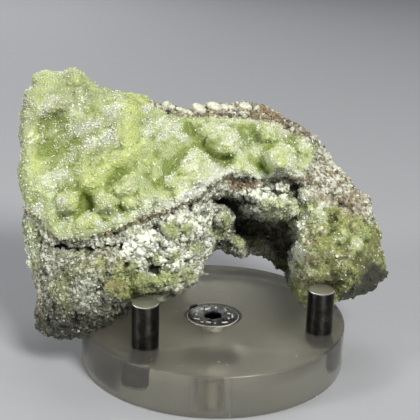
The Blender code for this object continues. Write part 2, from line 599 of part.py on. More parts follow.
def build():
    """Make the whole specimen on its stand."""
    for obj in list(bpy.data.objects):
        bpy.data.objects.remove(obj)
    parts = new_collection(OBJECT_NAME)
    cutters = new_collection("cutters")
    build_stone(parts, cutters)
    build_disc(parts, cutters)
    build_pegs(parts)
    build_screw(parts, cutters)


build()
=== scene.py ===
"""Looks of the cuprian smithsonite specimen on its display stand.

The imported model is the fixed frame. The stone, the disc, the pegs and the screw are each remade
over their plain solids. Lengths are metres in meshes and millimetres in the named values below.
"""

import math

import bpy
import numpy as np
from mathutils import Matrix, Vector, noise


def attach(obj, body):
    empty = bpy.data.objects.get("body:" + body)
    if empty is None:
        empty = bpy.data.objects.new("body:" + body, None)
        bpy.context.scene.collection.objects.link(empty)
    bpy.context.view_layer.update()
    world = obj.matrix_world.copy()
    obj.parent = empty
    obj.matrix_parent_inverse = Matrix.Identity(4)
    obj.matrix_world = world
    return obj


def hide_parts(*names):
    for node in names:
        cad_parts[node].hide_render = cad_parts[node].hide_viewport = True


MM = 0.001
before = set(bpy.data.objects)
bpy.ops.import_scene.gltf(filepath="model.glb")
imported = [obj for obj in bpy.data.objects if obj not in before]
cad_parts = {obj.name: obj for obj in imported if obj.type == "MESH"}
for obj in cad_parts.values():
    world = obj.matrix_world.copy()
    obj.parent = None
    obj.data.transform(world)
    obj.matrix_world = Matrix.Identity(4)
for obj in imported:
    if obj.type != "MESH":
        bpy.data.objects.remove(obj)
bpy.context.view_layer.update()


# Stone: one natural lump of porous matrix with a crust of green smithsonite over its upper front.
# It grew as one piece. Under the crust runs a thin brown seam, and below that lie a left leg, a
# hollow and a right leg of grains and small coral-like knobs.

# The stone's places are drawn as it is seen: u right, v up, w towards the viewer, in millimetres
VIEW_TILT = math.radians(19.07)
VIEW_DISTANCE = 231.2
VIEW_CENTRE = np.array([-1.4, 0.0, 35.92])
VIEW_BACK = np.array([0.0, -math.cos(VIEW_TILT), math.sin(VIEW_TILT)])

DISC_RADIUS = 30.9
DISC_TOP = 10.0
PEG_RADIUS = 3.0
PEG_TOP = 20.4
PEG_CENTRES = {
    "peg_front_left": (-14.8, -17.1),
    "peg_front_right": (24.3, -7.2),
    "peg_rear": (-10.5, 22.0),
}

STONE_VOXEL = 0.445
STONE_GAP = 0.25
WANDER_SIZE = 1.6
FINE_ROUNDS = 8
BROAD_ROUNDS = 70

# Lower edge of the green crust, left to right, and the foot of the tan ridge behind it
SEAM = [(-46.0, 0.6), (-41.5, -1.0), (-38.1, -3.8), (-36.2, -6.5), (-33.5, -7.8), (-28.2, -7.4),
        (-22.2, -5.4), (-15.9, -2.5), (-9.1, 0.0), (-5.7, 1.7), (-3.0, 2.9), (-0.6, 5.4),
        (2.5, 7.4), (3.9, 8.5), (6.6, 7.7), (11.6, 7.4), (20.3, 8.3), (21.7, 8.0)]
RIDGE_FOOT = [(-14.9, 34.0), (-14.4, 23.9), (-10.9, 22.0), (-5.2, 21.0), (-0.6, 21.2), (6.2, 21.1),
              (11.2, 20.8), (15.4, 19.8), (18.2, 17.8), (20.6, 16.8)]
CRUST_RIGHT = [(23.4, 14.6), (22.8, 11.0)]
CRUST_OUTLINE = SEAM[::-1] + [(-50.0, 0.6), (-50.0, 40.0)] + RIDGE_FOOT + CRUST_RIGHT

# Round growths of the front as (u, v, radius, height), and grooves as (half width, depth, line)
DOMES = [
    (2.5, 15.6, 3.9, 3.4), (-0.7, 18.0, 2.0, 1.4), (12.4, 18.3, 2.5, 2.9), (15.8, 12.3, 3.4, 3.6),
    (21.2, 15.2, 2.0, 2.1), (21.8, 11.1, 2.0, 1.9), (10.1, 14.4, 1.4, 0.8), (4.7, 9.9, 1.8, 1.0),
    (8.2, 9.3, 1.4, 0.7), (7.9, 18.2, 0.7, 1.0), (-3.5, 11.3, 2.7, 1.7), (0.2, 9.6, 1.8, 1.3),
    (-6.2, 9.6, 1.8, 1.4), (-8.8, 6.1, 1.6, 1.6), (-6.7, 3.4, 1.8, 1.1), (-2.7, 7.2, 1.8, 1.0),
    (-10.8, 2.0, 1.8, 0.8), (-32.1, 0.9, 3.0, 2.6), (-19.5, 4.6, 2.8, 2.6), (-18.4, 1.4, 1.9, 2.0),
    (-23.9, 0.9, 2.5, 2.4), (-28.6, -3.2, 2.4, 1.2), (-26.3, -3.3, 1.6, 0.7), (-31.4, 29.1, 2.0, 1.2),
    (-19.2, 19.7, 1.8, 0.9), (-19.1, 15.2, 2.0, 0.9), (-21.5, 11.2, 2.3, 1.1), (-25.1, 8.2, 2.0, 0.9),
    (-15.3, 9.6, 1.8, 0.7), (-28.2, 5.8, 1.8, 0.7), (-15.2, -17.3, 2.3, 2.0), (-11.3, -17.0, 1.4, 0.9),
    (-9.0, -4.8, 2.0, 1.8), (-5.6, -4.5, 1.4, 0.8), (3.5, -1.9, 2.5, 2.0), (6.1, -6.9, 1.6, 1.0),
    (-12.0, -11.7, 0.9, 0.7), (-1.0, -5.0, 1.8, 1.0), (-4.3, -9.2, 2.0, 0.9), (-20.3, -5.6, 1.6, 0.6),
    (13.2, 0.8, 3.2, 4.3), (16.8, 1.0, 3.0, 4.1), (12.7, -0.3, 2.0, 4.0), (15.2, -0.3, 2.0, 4.3),
    (17.6, -0.1, 1.9, 4.0), (9.2, 1.5, 2.2, 3.2), (19.2, -3.3, 1.4, 1.4), (15.6, -3.0, 0.9, 0.9),
    (30.2, -5.0, 2.0, 1.5), (23.2, -0.2, 2.0, 1.0), (21.3, 3.8, 1.4, 0.8), (35.7, -7.2, 2.0, 0.8),
    (24.1, -8.0, 2.5, 1.0), (21.3, -12.6, 2.0, 0.8), (26.3, -13.4, 1.8, 0.8), (24.0, 6.4, 2.0, 0.7),
    (28.3, 4.5, 1.6, 0.7), (-20.0, -17.0, 2.2, 1.5), (-22.2, -18.9, 1.4, 0.9), (-17.6, -14.2, 1.2, 0.9),
    (-9.3, -16.0, 1.5, 1.2), (-5.0, -14.9, 1.6, 1.1), (-13.3, -19.7, 1.1, 0.8),
]
GROOVES = [
    (1.0, 2.0, [(-5.8, 18.5), (-3.7, 16.5), (-2.0, 14.5), (0.1, 13.0), (2.2, 12.1), (3.8, 11.7)]),
    (0.8, 1.2, [(-5.9, 13.5), (-7.2, 11.9), (-8.7, 10.0), (-10.3, 8.1), (-11.8, 5.6)]),
    (0.9, 1.7, [(8.8, 19.4), (9.7, 17.6), (10.7, 16.0)]),
    (0.8, 1.1, [(6.5, 19.1), (7.0, 16.8), (7.5, 15.2)]),
    (0.8, 1.3, [(8.7, 12.8), (10.2, 11.0), (11.8, 9.9), (13.2, 9.3)]),
    (0.6, 1.0, [(17.9, 17.8), (18.7, 16.0), (19.4, 14.2), (19.7, 12.6), (20.2, 10.1)]),
    (1.1, 1.1, [(-29.2, 3.3), (-27.6, 1.0), (-27.3, -0.8)]),
    (0.7, 1.7, [(-23.6, 4.3), (-22.5, 5.5), (-20.9, 6.2)]),
    (0.6, 1.6, [(-20.7, 7.5), (-19.8, 7.4)]),
    (0.7, 1.0, [(27.9, 2.2), (28.5, -0.3), (29.2, -3.0)]),
]

# Thin cracks of the crust and the rock, as (half width, depth, half width of their colour, line)
GREEN_CRACKS = [
    (0.7, 1.9, 0.6, [(-20.9, 0.5), (-20.4, -1.1)]),
    (0.5, 1.2, 0.5, [(-25.8, 9.5), (-24.7, 10.3)]),
    (0.6, 1.4, 0.5, [(-33.2, -1.8), (-31.6, -2.2), (-30.0, -1.9)]),
    (0.6, 1.4, 0.6, [(-25.0, -1.6), (-23.8, -2.9)]),
]
DARK_CRACKS = [
    (0.8, 2.2, 0.5, [(-36.2, -8.8), (-34.3, -9.6), (-32.1, -9.4), (-29.8, -9.7), (-27.0, -9.7),
                     (-24.8, -9.4), (-21.8, -8.8)]),
    (0.6, 1.6, 0.5, [(29.6, 2.1), (30.9, 1.6), (32.5, 0.5)]),
    (1.0, 2.4, 0.9, [(-30.0, -25.5), (-29.7, -27.3), (-29.2, -29.3)]),
]

# Streaks and patches of colour, as lines with a half width and as (u, v, radius)
YELLOW_LINES = [
    (1.0, [(-40.4, 17.5), (-40.0, 12.5), (-39.4, 7.7)]),
    (2.7, [(-16.9, 25.0), (-18.6, 21.8), (-19.2, 18.8), (-18.9, 15.4), (-18.4, 13.1), (-21.3, 10.8),
           (-24.6, 8.4), (-27.0, 6.0), (-28.6, 4.2)]),
]
YELLOW_SPOTS = [
    (-30.9, 28.9, 1.8), (-19.4, 1.7, 2.0), (-6.8, 8.5, 1.6), (-3.0, 9.5, 1.1), (-6.7, 3.4, 1.4),
    (16.5, 11.6, 2.0), (11.4, 16.5, 0.9), (3.2, 13.8, 2.0), (-14.0, 11.0, 1.6), (-31.4, 0.9, 1.4),
    (-27.2, -4.2, 1.6), (-13.8, 20.5, 0.9),
]
WHITE_SPOTS = [
    (-36.7, 24.2, 1.4), (-38.4, 22.3, 1.4), (-35.6, 19.2, 1.6), (-33.3, 17.9, 1.4), (-30.1, 17.8, 1.8),
    (-27.2, 18.8, 1.6), (-29.1, 21.9, 1.1), (-31.8, 21.2, 0.9), (-22.7, 22.3, 1.8), (-23.3, 19.6, 1.1),
    (-23.2, 16.2, 1.8), (-25.0, 14.3, 1.4), (-27.7, 14.5, 1.6), (-21.4, 14.0, 1.1), (-15.0, 22.8, 1.1),
    (-14.9, 19.6, 1.1), (-11.9, 19.2, 1.4), (-9.2, 18.4, 1.8), (-6.9, 16.4, 1.4), (-11.2, 16.5, 1.4),
    (-14.8, 16.9, 1.1), (-35.5, 6.9, 1.6), (-33.2, 7.5, 1.1), (-37.7, 5.5, 1.4), (-36.1, 3.5, 1.4),
    (-34.0, 1.3, 0.9), (-38.7, 0.0, 1.4), (-39.6, -1.4, 1.1), (-1.7, 11.8, 0.9), (-0.5, 10.0, 1.6),
    (1.5, 9.4, 1.8), (-0.2, 7.3, 1.8), (-2.9, 5.4, 1.6), (-4.4, 4.2, 1.1), (-6.3, 5.7, 1.1),
    (-9.8, 7.0, 0.9), (-11.4, 0.6, 1.6), (-13.7, 0.7, 1.4), (-8.7, 1.8, 1.1), (-15.9, -1.1, 1.1),
    (-20.4, -2.6, 1.1), (-24.9, -3.9, 1.4), (-32.7, -3.7, 1.1), (-27.3, -1.7, 0.9), (2.2, 19.0, 1.4),
    (4.8, 16.8, 1.4), (6.0, 13.8, 1.6), (9.5, 17.0, 1.2), (9.8, 14.9, 1.1), (10.3, 12.4, 1.1),
    (16.3, 17.6, 1.4), (18.0, 14.9, 1.1), (18.3, 11.9, 1.4), (21.0, 15.0, 1.1), (22.7, 10.2, 1.4),
    (20.5, 9.0, 1.1), (-5.0, 11.8, 1.5), (-7.2, 10.0, 1.2), (-4.2, 9.0, 1.4), (17.5, 10.1, 1.4),
    (8.9, 8.5, 1.4), (5.4, 9.0, 1.4), (12.1, 8.1, 1.1), (8.5, 19.8, 0.9), (23.8, 12.8, 0.9),
]
PALE_RIDGE_SPOTS = [(4.6, 21.8, 1.6), (7.2, 21.6, 1.5), (-3.4, 21.6, 1.0)]
DEEP_LINES = [
    (1.1, [(-5.8, 18.3), (-3.7, 16.5), (-2.0, 14.5), (0.1, 13.0), (1.9, 12.1), (3.5, 11.7)]),
    (0.9, [(-5.9, 13.5), (-7.2, 11.9), (-8.7, 10.0), (-10.3, 8.4)]),
    (0.8, [(-11.6, 6.5), (-11.5, 5.1)]),
    (1.0, [(8.8, 19.2), (9.7, 17.4), (10.9, 16.0)]),
    (0.9, [(6.3, 18.9), (7.0, 16.8)]),
    (0.8, [(9.0, 12.3), (10.4, 11.0), (11.8, 9.9), (13.4, 9.3)]),
    (0.6, [(18.2, 17.4), (18.9, 15.8), (19.2, 14.7)]),
    (1.0, [(-29.2, 3.3), (-27.8, 1.5), (-27.1, -0.3)]),
    (0.6, [(-23.4, 4.3), (-22.5, 5.3), (-21.1, 6.0)]),
] + [crack[2:] for crack in GREEN_CRACKS]
DEEP_SPOTS = [
    (-27.3, 0.3, 1.4), (-20.5, 7.6, 0.7), (-20.7, 0.1, 0.9), (0.0, 15.3, 0.9), (13.0, 14.9, 0.9),
    (-31.2, 15.0, 1.4), (-13.4, 16.2, 0.9), (-1.8, 16.1, 0.9), (21.5, 12.9, 0.5), (-12.2, 12.2, 1.1),
    (-34.3, 4.7, 0.7),
]
OLIVE_SPOTS = [
    (-35.0, 14.9, 3.6), (-15.2, -17.5, 2.5), (-11.3, -17.0, 1.8), (-8.0, -14.8, 1.4), (-4.6, -15.4, 1.4),
    (-12.0, -11.7, 1.1), (-7.7, -10.5, 1.1), (-17.2, -12.3, 1.1), (-9.0, -4.8, 2.0), (-5.3, -4.5, 1.4),
    (0.1, -4.6, 1.1), (2.8, -2.7, 1.4), (-21.1, -18.1, 1.8), (2.0, -5.2, 1.4), (-39.7, -13.0, 1.1),
    (7.1, -7.8, 1.1), (-3.9, -8.1, 1.6), (-9.7, -18.5, 1.4), (-24.7, -12.6, 1.1),
]
ORANGE_SPOTS = [
    (23.2, -6.6, 1.6), (23.5, -10.2, 1.6), (21.6, -15.3, 1.6), (31.0, -8.7, 1.1), (-0.6, 21.8, 1.6),
    (7.6, 22.3, 1.1), (11.2, 22.6, 2.0), (13.9, 21.6, 2.3), (16.3, 19.1, 1.8), (19.5, 18.3, 1.1),
    (9.6, 21.0, 1.4), (-33.7, 0.6, 0.9), (-19.5, -3.8, 0.9), (7.8, 6.1, 1.6), (9.4, 6.2, 1.1),
    (34.7, 4.0, 0.9), (5.5, 6.3, 1.1),
]
TAN_SPOTS = [
    (-21.8, -17.8, 1.8), (-19.4, -18.2, 1.2), (-23.2, -9.1, 1.3), (-24.1, -10.7, 1.1), (-22.0, -10.7, 0.9),
    (-20.6, -18.9, 1.1), (-10.8, -20.4, 0.9), (-27.1, -7.2, 1.1), (-25.8, -10.1, 0.9),
]
PALE_LINES = [
    (1.1, [(-41.1, -4.8), (-40.7, -9.1), (-40.2, -13.0)]),
    (0.8, [(-29.4, -8.1), (-26.0, -7.8), (-22.1, -7.0)]),
    (0.9, [(10.5, 5.3), (14.0, 5.0), (17.6, 5.1)]),
    (0.8, [(5.8, 3.8), (9.0, 3.9)]),
    (1.1, [(25.8, 5.3), (25.9, 1.9), (25.1, -2.0)]),
    (0.8, [(18.7, -8.1), (18.3, -11.3), (19.1, -14.5)]),
]
GLASSY_SPOTS = [
    (30.2, -5.0, 2.3), (-15.2, -17.3, 2.5), (-11.3, -17.0, 1.4), (-9.0, -4.8, 2.0), (-5.3, -4.5, 1.4),
    (-12.0, -11.7, 0.9), (-7.9, -10.7, 0.9), (-4.6, -15.2, 1.1), (21.5, -19.0, 2.0), (3.5, -1.9, 1.1),
    (35.5, -7.4, 1.8), (-16.9, -12.3, 0.9),
]
DARK_SPOTS = [
    (-12.6, -14.0, 0.9), (-14.0, -11.8, 0.7), (-5.3, -12.0, 0.7), (-5.7, -16.6, 0.7), (-21.5, -6.1, 0.8),
    (-20.0, -9.2, 0.8), (-18.7, -13.1, 0.7), (-1.6, -0.7, 0.9), (-4.6, 0.1, 0.9), (19.0, 5.6, 0.9),
    (18.2, 7.1, 0.7), (19.9, 4.2, 0.8), (17.2, 10.1, 0.4), (18.2, 9.0, 0.6), (9.6, 7.1, 0.6),
    (11.6, 7.2, 0.5), (14.1, 6.8, 0.5), (35.6, -4.0, 0.7), (-2.7, 6.8, 0.4), (-0.6, 5.0, 0.5),
    (1.2, 21.4, 0.5), (8.0, 21.6, 0.5), (-10.2, 22.2, 0.7), (-7.9, -3.4, 0.5),
]
DARK_LINES = [
    (0.9, [(-12.2, -4.2), (-11.0, -5.3), (-9.4, -6.4)]),
    (0.5, [(3.9, 8.5), (6.1, 7.9), (7.8, 7.5)]),
    (0.9, [(6.8, 2.0), (8.6, 2.1), (10.4, 1.9)]),
    (1.1, [(31.1, -18.7), (35.1, -17.7), (40.1, -15.7)]),
    (2.0, [(-39.6, -25.7), (-37.4, -28.4), (-33.7, -29.9), (-27.6, -29.5), (-22.4, -27.3), (-18.0, -23.7)]),
] + [crack[2:] for crack in DARK_CRACKS]
RIDGE_LINES = [(1.1, [(-12.6, 21.6), (-7.9, 21.6), (-3.8, 20.9), (-0.2, 22.0), (1.5, 22.3)])]
MOSS = [
    (28.7, 0.1, 0.8), (28.7, -1.2, 0.8), (28.1, -3.1, 0.8), (32.2, -3.4, 0.9), (32.6, -2.0, 0.7),
    (35.4, -4.2, 0.8), (28.6, -11.0, 0.9), (30.1, -10.7, 0.8), (30.0, -13.0, 1.0), (31.8, -13.4, 0.8),
    (34.2, -9.3, 1.1), (35.8, -10.8, 1.1), (33.8, -11.1, 0.9), (38.1, -12.1, 1.6), (38.7, -14.4, 1.8),
    (35.9, -14.7, 1.4), (31.2, -17.5, 1.1), (33.5, -17.0, 1.1), (36.7, -16.9, 1.4), (25.2, -4.5, 0.7),
    (27.0, -11.1, 0.7), (20.4, -12.2, 0.7), (18.2, 1.4, 0.9), (18.3, 3.3, 0.9), (23.2, 1.6, 0.7),
    (16.6, 0.9, 0.7), (-15.0, -15.5, 0.7), (-10.3, -14.0, 0.6), (-8.3, -11.6, 0.6), (-13.5, -12.2, 0.6),
    (-10.0, -9.2, 0.6),
    (0.9, [(28.5, -10.5), (28.9, -13.5), (29.3, -17.8)]),
    (0.7, [(27.6, -0.8), (27.9, -5.0)]),
    (0.7, [(34.8, -4.6), (36.2, -5.7)]),
    (0.7, [(31.0, -9.8), (34.8, -10.8)]),
    (0.6, [(22.6, -3.6), (24.6, -6.6)]),
]

# Lumps and knobs, the toe painted in shade and the domes painted lighter, as (u, v, radius)
GREEN_LUMPS = [
    (12.6, 1.5, 2.0), (15.2, 1.0, 2.6), (18.0, 0.8, 2.2), (13.5, -1.0, 1.6), (17.0, -1.2, 1.8),
    (29.8, -5.2, 1.9), (33.8, -6.3, 1.7), (25.0, -0.8, 1.8), (22.0, 0.8, 1.6), (21.2, -17.8, 1.9),
    (35.5, -4.0, 1.3), (-41.0, -4.5, 1.6), (-40.6, -7.5, 1.6), (-40.2, -10.5, 1.5), (-39.8, -13.5, 1.3),
]
OLIVE_LUMPS = [
    (-9.0, -4.8, 2.1), (-5.4, -4.6, 1.4), (-15.2, -17.3, 2.4), (-11.3, -17.0, 1.6), (-12.0, -11.7, 1.0),
    (-7.9, -10.7, 1.1), (-4.6, -15.2, 1.3), (-2.6, -8.4, 1.3), (0.4, -4.4, 1.2), (3.4, -2.0, 1.4),
    (-8.7, -15.6, 1.5), (-17.0, -12.3, 0.9), (6.2, -6.8, 1.2), (-19.2, -15.6, 1.2), (-17.6, -14.2, 1.1),
    (-13.3, -19.7, 1.2),
]
HOLLOW_KNOBS = [
    (15.1, -3.0, 0.9), (19.2, -2.2, 0.8), (19.9, -3.8, 1.0), (19.3, -5.7, 0.9), (18.4, -4.6, 0.7),
    (12.3, -1.2, 0.8), (17.9, -2.0, 0.6), (8.8, 0.9, 2.2), (13.3, -3.7, 0.6), (20.2, -7.6, 0.7),
]
TOE_SPOTS = [(38.2, -14.6, 4.4), (35.4, -17.5, 2.8)]
LIT_DOMES = [(15.4, 12.9, 2.6), (12.2, 18.6, 2.0), (2.4, 16.4, 2.2)]

# Outlines of the zones
HOLLOW = [
    (-2.9, 1.7), (0.5, 2.9), (6.2, 2.6), (8.0, -0.4), (13.0, -1.8), (18.4, -2.0), (20.3, -5.5),
    (18.6, -9.0), (18.2, -18.0), (8.7, -18.0), (8.4, -9.4), (7.6, -6.4), (4.4, -5.2), (5.6, -2.0),
    (3.8, 0.8), (0.2, 0.9), (-2.9, 0.7),
]
KNOB_FIELD = [
    (-24.0, -8.4), (-19.0, -6.6), (-9.1, -1.2), (-5.7, 0.6), (0.0, 2.4), (3.0, -1.0), (2.0, -4.0),
    (0.7, -9.1), (-3.4, -16.3), (-8.1, -20.3), (-14.0, -21.8), (-17.0, -14.0), (-20.0, -10.0),
]
SHELF = [
    (5.8, 5.2), (9.0, 5.3), (18.0, 6.7), (20.3, 5.1), (20.5, -0.3), (18.7, -1.5), (11.9, -1.7), (8.2, 0.2),
    (5.8, 2.9),
]
FLANK = [
    (20.3, 8.3), (21.6, 9.3), (24.3, 10.9), (25.1, 14.8), (26.9, 14.0), (30.5, 8.6), (33.1, 5.5),
    (36.8, 2.4), (37.4, -0.3), (34.6, 0.1), (31.4, -0.5), (29.1, 2.2), (26.4, 1.7), (21.3, 4.7),
]
RIGHT_LEG = [
    (20.4, -1.0), (26.0, 6.0), (36.0, -1.0), (42.0, -8.0), (43.0, -16.0), (24.0, -24.0), (18.0, -18.0),
    (15.0, -10.0),
]
BROWN_PATCH = [(3.4, 7.8), (6.2, 7.2), (10.3, 6.9), (10.8, 5.5), (9.0, 4.8), (5.8, 4.9), (3.7, 6.0)]
OLIVE_ZONE = [
    (-21.6, -12.7), (-19.7, -11.5), (-17.6, -12.4), (-16.0, -14.6), (-13.7, -15.4), (-11.4, -14.2),
    (-8.7, -13.5), (-5.6, -12.0), (-3.5, -12.9), (-5.2, -16.3), (-8.1, -18.9), (-10.8, -20.6),
    (-15.3, -21.2), (-20.4, -20.6), (-23.1, -19.1), (-23.3, -17.2), (-21.0, -15.2),
]


def ramp(low, high, value):
    """Return 0 at low, 1 at high and a smooth change between them."""
    share = np.clip((value - low) / (high - low), 0.0, 1.0)
    return share * share * (3.0 - 2.0 * share)


def top(first, *others):
    """Return the largest of some shares at each point."""
    for other in others:
        first = np.maximum(first, other)
    return first


def to_drawing(spots):
    """Turn points of the stand, in millimetres, into drawn u, v and depth w."""
    up = np.array([0.0, math.sin(VIEW_TILT), math.cos(VIEW_TILT)])
    offset = spots - VIEW_CENTRE
    depth = offset @ VIEW_BACK
    nearness = 1.0 - depth / VIEW_DISTANCE
    return offset[:, 0] / nearness, (offset @ up) / nearness, depth


def drift(spots, size, shift=0.0):
    """Return smooth noise of about -1 to 1 at each point, with lumps of one size."""
    move = Vector((shift, 2.0 * shift, -shift))
    return np.array([noise.noise(Vector(spot) / size + move) for spot in spots])


def shaken(shake=0.0, shake_v=None, slide=0.0):
    """Return the drawn points moved by noise, so that an edge drawn on them turns ragged."""
    return u + shake * wander + slide, v + (shake if shake_v is None else shake_v) * wander


def line_distance(line, at_u, at_v):
    """Return each drawn point's distance from a line of points."""
    nearest = np.full(len(at_u), np.inf)
    for (u0, v0), (u1, v1) in zip(line, line[1:]):
        du, dv = u1 - u0, v1 - v0
        share = np.clip(((at_u - u0) * du + (at_v - v0) * dv) / (du * du + dv * dv), 0.0, 1.0)
        nearest = np.minimum(nearest, np.hypot(at_u - u0 - share * du, at_v - v0 - share * dv))
    return nearest


def within(outline, soft, *shakes, **slides):
    """Return 1 inside a closed outline and 0 outside, with a soft edge."""
    at_u, at_v = shaken(*shakes, **slides)
    inside = np.zeros(len(at_u), dtype=bool)
    for (u0, v0), (u1, v1) in zip(outline, outline[1:] + outline[:1]):
        if v0 != v1:
            crosses = (v0 > at_v) != (v1 > at_v)
            inside ^= crosses & (at_u < (u1 - u0) * (at_v - v0) / (v1 - v0) + u0)
    reach = line_distance(outline + outline[:1], at_u, at_v)
    return ramp(-soft, soft, np.where(inside, reach, -reach))


def near(places, *shakes):
    """Return how near each drawn point is to any spot (u, v, radius) or line (half width, line)."""
    at_u, at_v = shaken(*shakes)
    shares = []
    for mark in places:
        if len(mark) == 3:
            size, reach = mark[2], np.hypot(at_u - mark[0], at_v - mark[1])
        else:
            size, reach = mark[0], line_distance(mark[1], at_u, at_v)
        shares.append(ramp(1.3 * size, 0.5 * size, reach))
    return np.max(shares, axis=0)


def around(middle_u, middle_v, outer, inner):
    """Return 1 near a drawn place and 0 beyond the outer distance."""
    return ramp(outer, inner, np.hypot(u - middle_u, v - middle_v))


def read(items, field, width, kind=np.float64):
    """Return one field of a mesh's vertices, edges or triangles as rows of numbers."""
    values = np.empty(len(items) * width, dtype=kind)
    items.foreach_get(field, values)
    return values.reshape(-1, width)


def move_points(mesh, spots):
    """Give a mesh new points, in millimetres."""
    mesh.vertices.foreach_set("co", (spots * MM).ravel())
    mesh.update()


def give(mesh, name, values):
    """Store one number for each vertex under a name that a material can read."""
    layer = mesh.attributes.new(name, 'FLOAT', 'POINT')
    layer.data.foreach_set("value", values.astype(np.float32))


def only(obj):
    """Select one object alone and make it active."""
    bpy.ops.object.select_all(action='DESELECT')
    obj.select_set(True)
    bpy.context.view_layer.objects.active = obj


def apply_modifier(obj, kind, **settings):
    """Add one modifier, set it and apply it."""
    modifier = obj.modifiers.new(kind.lower(), kind)
    for name, value in settings.items():
        setattr(modifier, name, value)
    only(obj)
    bpy.ops.object.modifier_apply(modifier=modifier.name)


def clear_of_stand(spots, margin):
    """Move points up off the disc and sideways off the pegs and the air just above them."""
    x, y, z = spots.T.copy()
    z = np.where(np.hypot(x, y) < DISC_RADIUS + 0.3, np.maximum(z, DISC_TOP + margin), z)
    reach = PEG_RADIUS + margin
    top_clear = PEG_TOP + margin
    for peg_x, peg_y in PEG_CENTRES.values():
        away_x, away_y = x - peg_x, y - peg_y
        distance = np.maximum(np.hypot(away_x, away_y), 1e-6)
        above_reach = reach - 0.8 * np.maximum(z - PEG_TOP - margin, 0.0)
        aside = (away_y > 0.0) & (z >= top_clear) & (distance < above_reach)
        y = np.where(aside, peg_y + np.sqrt(np.maximum(above_reach ** 2 - away_x ** 2, 0.0)), y)
        touching = (distance < reach) & (z < top_clear)
        lift = touching & (top_clear - z < 0.4 * (reach - distance))
        push = touching & ~lift
        z = np.where(lift, top_clear, z)
        x = np.where(push, peg_x + away_x / distance * reach, x)
        y = np.where(push, peg_y + away_y / distance * reach, y)
    return np.stack([x, y, z], axis=1)


def relax(values, edges, rounds):
    """Average each vertex's value with its neighbours' a few times."""
    first, second = edges.T
    count = len(values)
    total = np.bincount(edges.ravel(), minlength=count).astype(float)
    for _ in range(rounds):
        around_it = np.stack([np.bincount(first, weights=column[second], minlength=count)
                              + np.bincount(second, weights=column[first], minlength=count)
                              for column in values.T], axis=1)
        values = around_it / np.maximum(total, 1.0)[:, None]
    return values


def displace(obj, kind, size, height, group="", middle=0.5, detail=1):
    """Push a mesh in and out along its normals by lumps of about one size, in millimetres."""
    texture = bpy.data.textures.new("lumps", kind)
    texture.noise_scale = size * MM
    if kind == 'VORONOI':
        texture.distance_metric = 'DISTANCE_SQUARED'
    else:
        texture.noise_depth = detail
    apply_modifier(obj, 'DISPLACE', texture=texture, texture_coords='LOCAL', strength=height * MM,
                   mid_level=middle, vertex_group=group)


def weigh(obj, name, weights):
    """Store weights as a vertex group, so that a modifier acts on a part of the mesh."""
    group = obj.vertex_groups.new(name=name)
    steps = np.round(np.clip(weights, 0.0, 1.0) * 20.0).astype(int)
    for step in range(1, 21):
        group.add(np.nonzero(steps == step)[0].tolist(), step / 20.0, 'REPLACE')


def body_shape():
    """Return the body's points and normals, their drawn places and the noise of its growth."""
    spots = read(stone.data.vertices, "co", 3) / MM
    return spots, read(stone.data.vertices, "normal", 3), *to_drawing(spots), drift(spots, WANDER_SIZE)


stone = bpy.data.objects.new("stone_body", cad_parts["smithsonite_stone"].data.copy())
bpy.context.scene.collection.objects.link(stone)
only(stone)
bpy.ops.object.mode_set(mode='EDIT')
bpy.ops.mesh.select_all(action='SELECT')
bpy.ops.mesh.remove_doubles(threshold=0.00001)
bpy.ops.object.mode_set(mode='OBJECT')
apply_modifier(stone, 'REMESH', mode='VOXEL', voxel_size=STONE_VOXEL * MM)
apply_modifier(stone, 'SMOOTH', factor=0.6, iterations=7)

points, normals, u, v, w, wander = body_shape()
from_front = ramp(-6.0, 2.0, w + 9.0) * ramp(0.0, 0.3, normals @ VIEW_BACK)
rise = np.zeros(len(points))
for dome_u, dome_v, radius, height in DOMES:
    reach = np.hypot(u - dome_u, v - dome_v) / radius
    rise = top(rise, height * np.sqrt(np.clip(1.0 - reach ** 2, 0.0, 1.0)))
for groove_width, depth, *_, line in GROOVES + GREEN_CRACKS + DARK_CRACKS:
    rise -= 0.6 * depth * np.exp(-1.4 * (line_distance(line, *shaken(0.9)) / groove_width) ** 2)
at_u, at_v = shaken(0.6)
for pit_u, pit_v, radius in DARK_SPOTS:
    rise -= 1.3 * radius * np.exp(-1.4 * (np.hypot(at_u - pit_u, at_v - pit_v) / radius) ** 2)
move_points(stone.data, points + VIEW_BACK * (rise * from_front)[:, None])
apply_modifier(stone, 'SMOOTH', factor=0.5, iterations=2)

# Zones of the body
points, normals, u, v, w, wander = body_shape()
wide = drift(points, 6.0, 3.0)
middle_depth = np.interp(u, (-43, -20, 0, 20, 41), (0.5, -4.0, -16.0, -15.0, -11.0))
middle_depth -= v * np.interp(u, (-43, -20, -5), (0.27, 0.20, 0.0))
front = ramp(-3.0, 1.5, w - middle_depth + wander)
behind = 1.0 - front
above_seam = v - np.interp(u, *zip(*SEAM)) + 0.25 * wander
over_ridge = v - np.interp(u, *zip(*(RIDGE_FOOT[1:]))) + 0.5 * wander
hidden_drift = 5.0 * wide * ramp(23.5, 26.0, v)
crust = within(CRUST_OUTLINE, 0.25, 0.3, slide=hidden_drift)
crust *= ramp(-5.5, -3.5, w - middle_depth + 1.5 * wander + 5.0 * wide)
in_hollow = ramp(-22.0, -16.0, w)
crust = top(crust, 0.9 * near(GREEN_LUMPS, 0.5) * top(front, in_hollow * (u > 8.0) * (u < 20.0)))
olive_lumps = near(OLIVE_LUMPS, 0.7) * front * (1.0 - crust)
crust = top(crust, 0.6 * olive_lumps)
rock = 1.0 - crust
ridge = ramp(-0.3, 0.5, over_ridge) * (u + hidden_drift > -14.6) * (u < 22.5) * (v > 15.0)
flank = within(FLANK, 0.8, 1.0) * front
flank_low = around(32.2, 2.4, 4.2, 1.6)
knobs = within(KNOB_FIELD, 0.9, 1.0, 0.5) * front
bright_knobs = knobs * around(-11.8, -8.6, 6.5, 3.0)
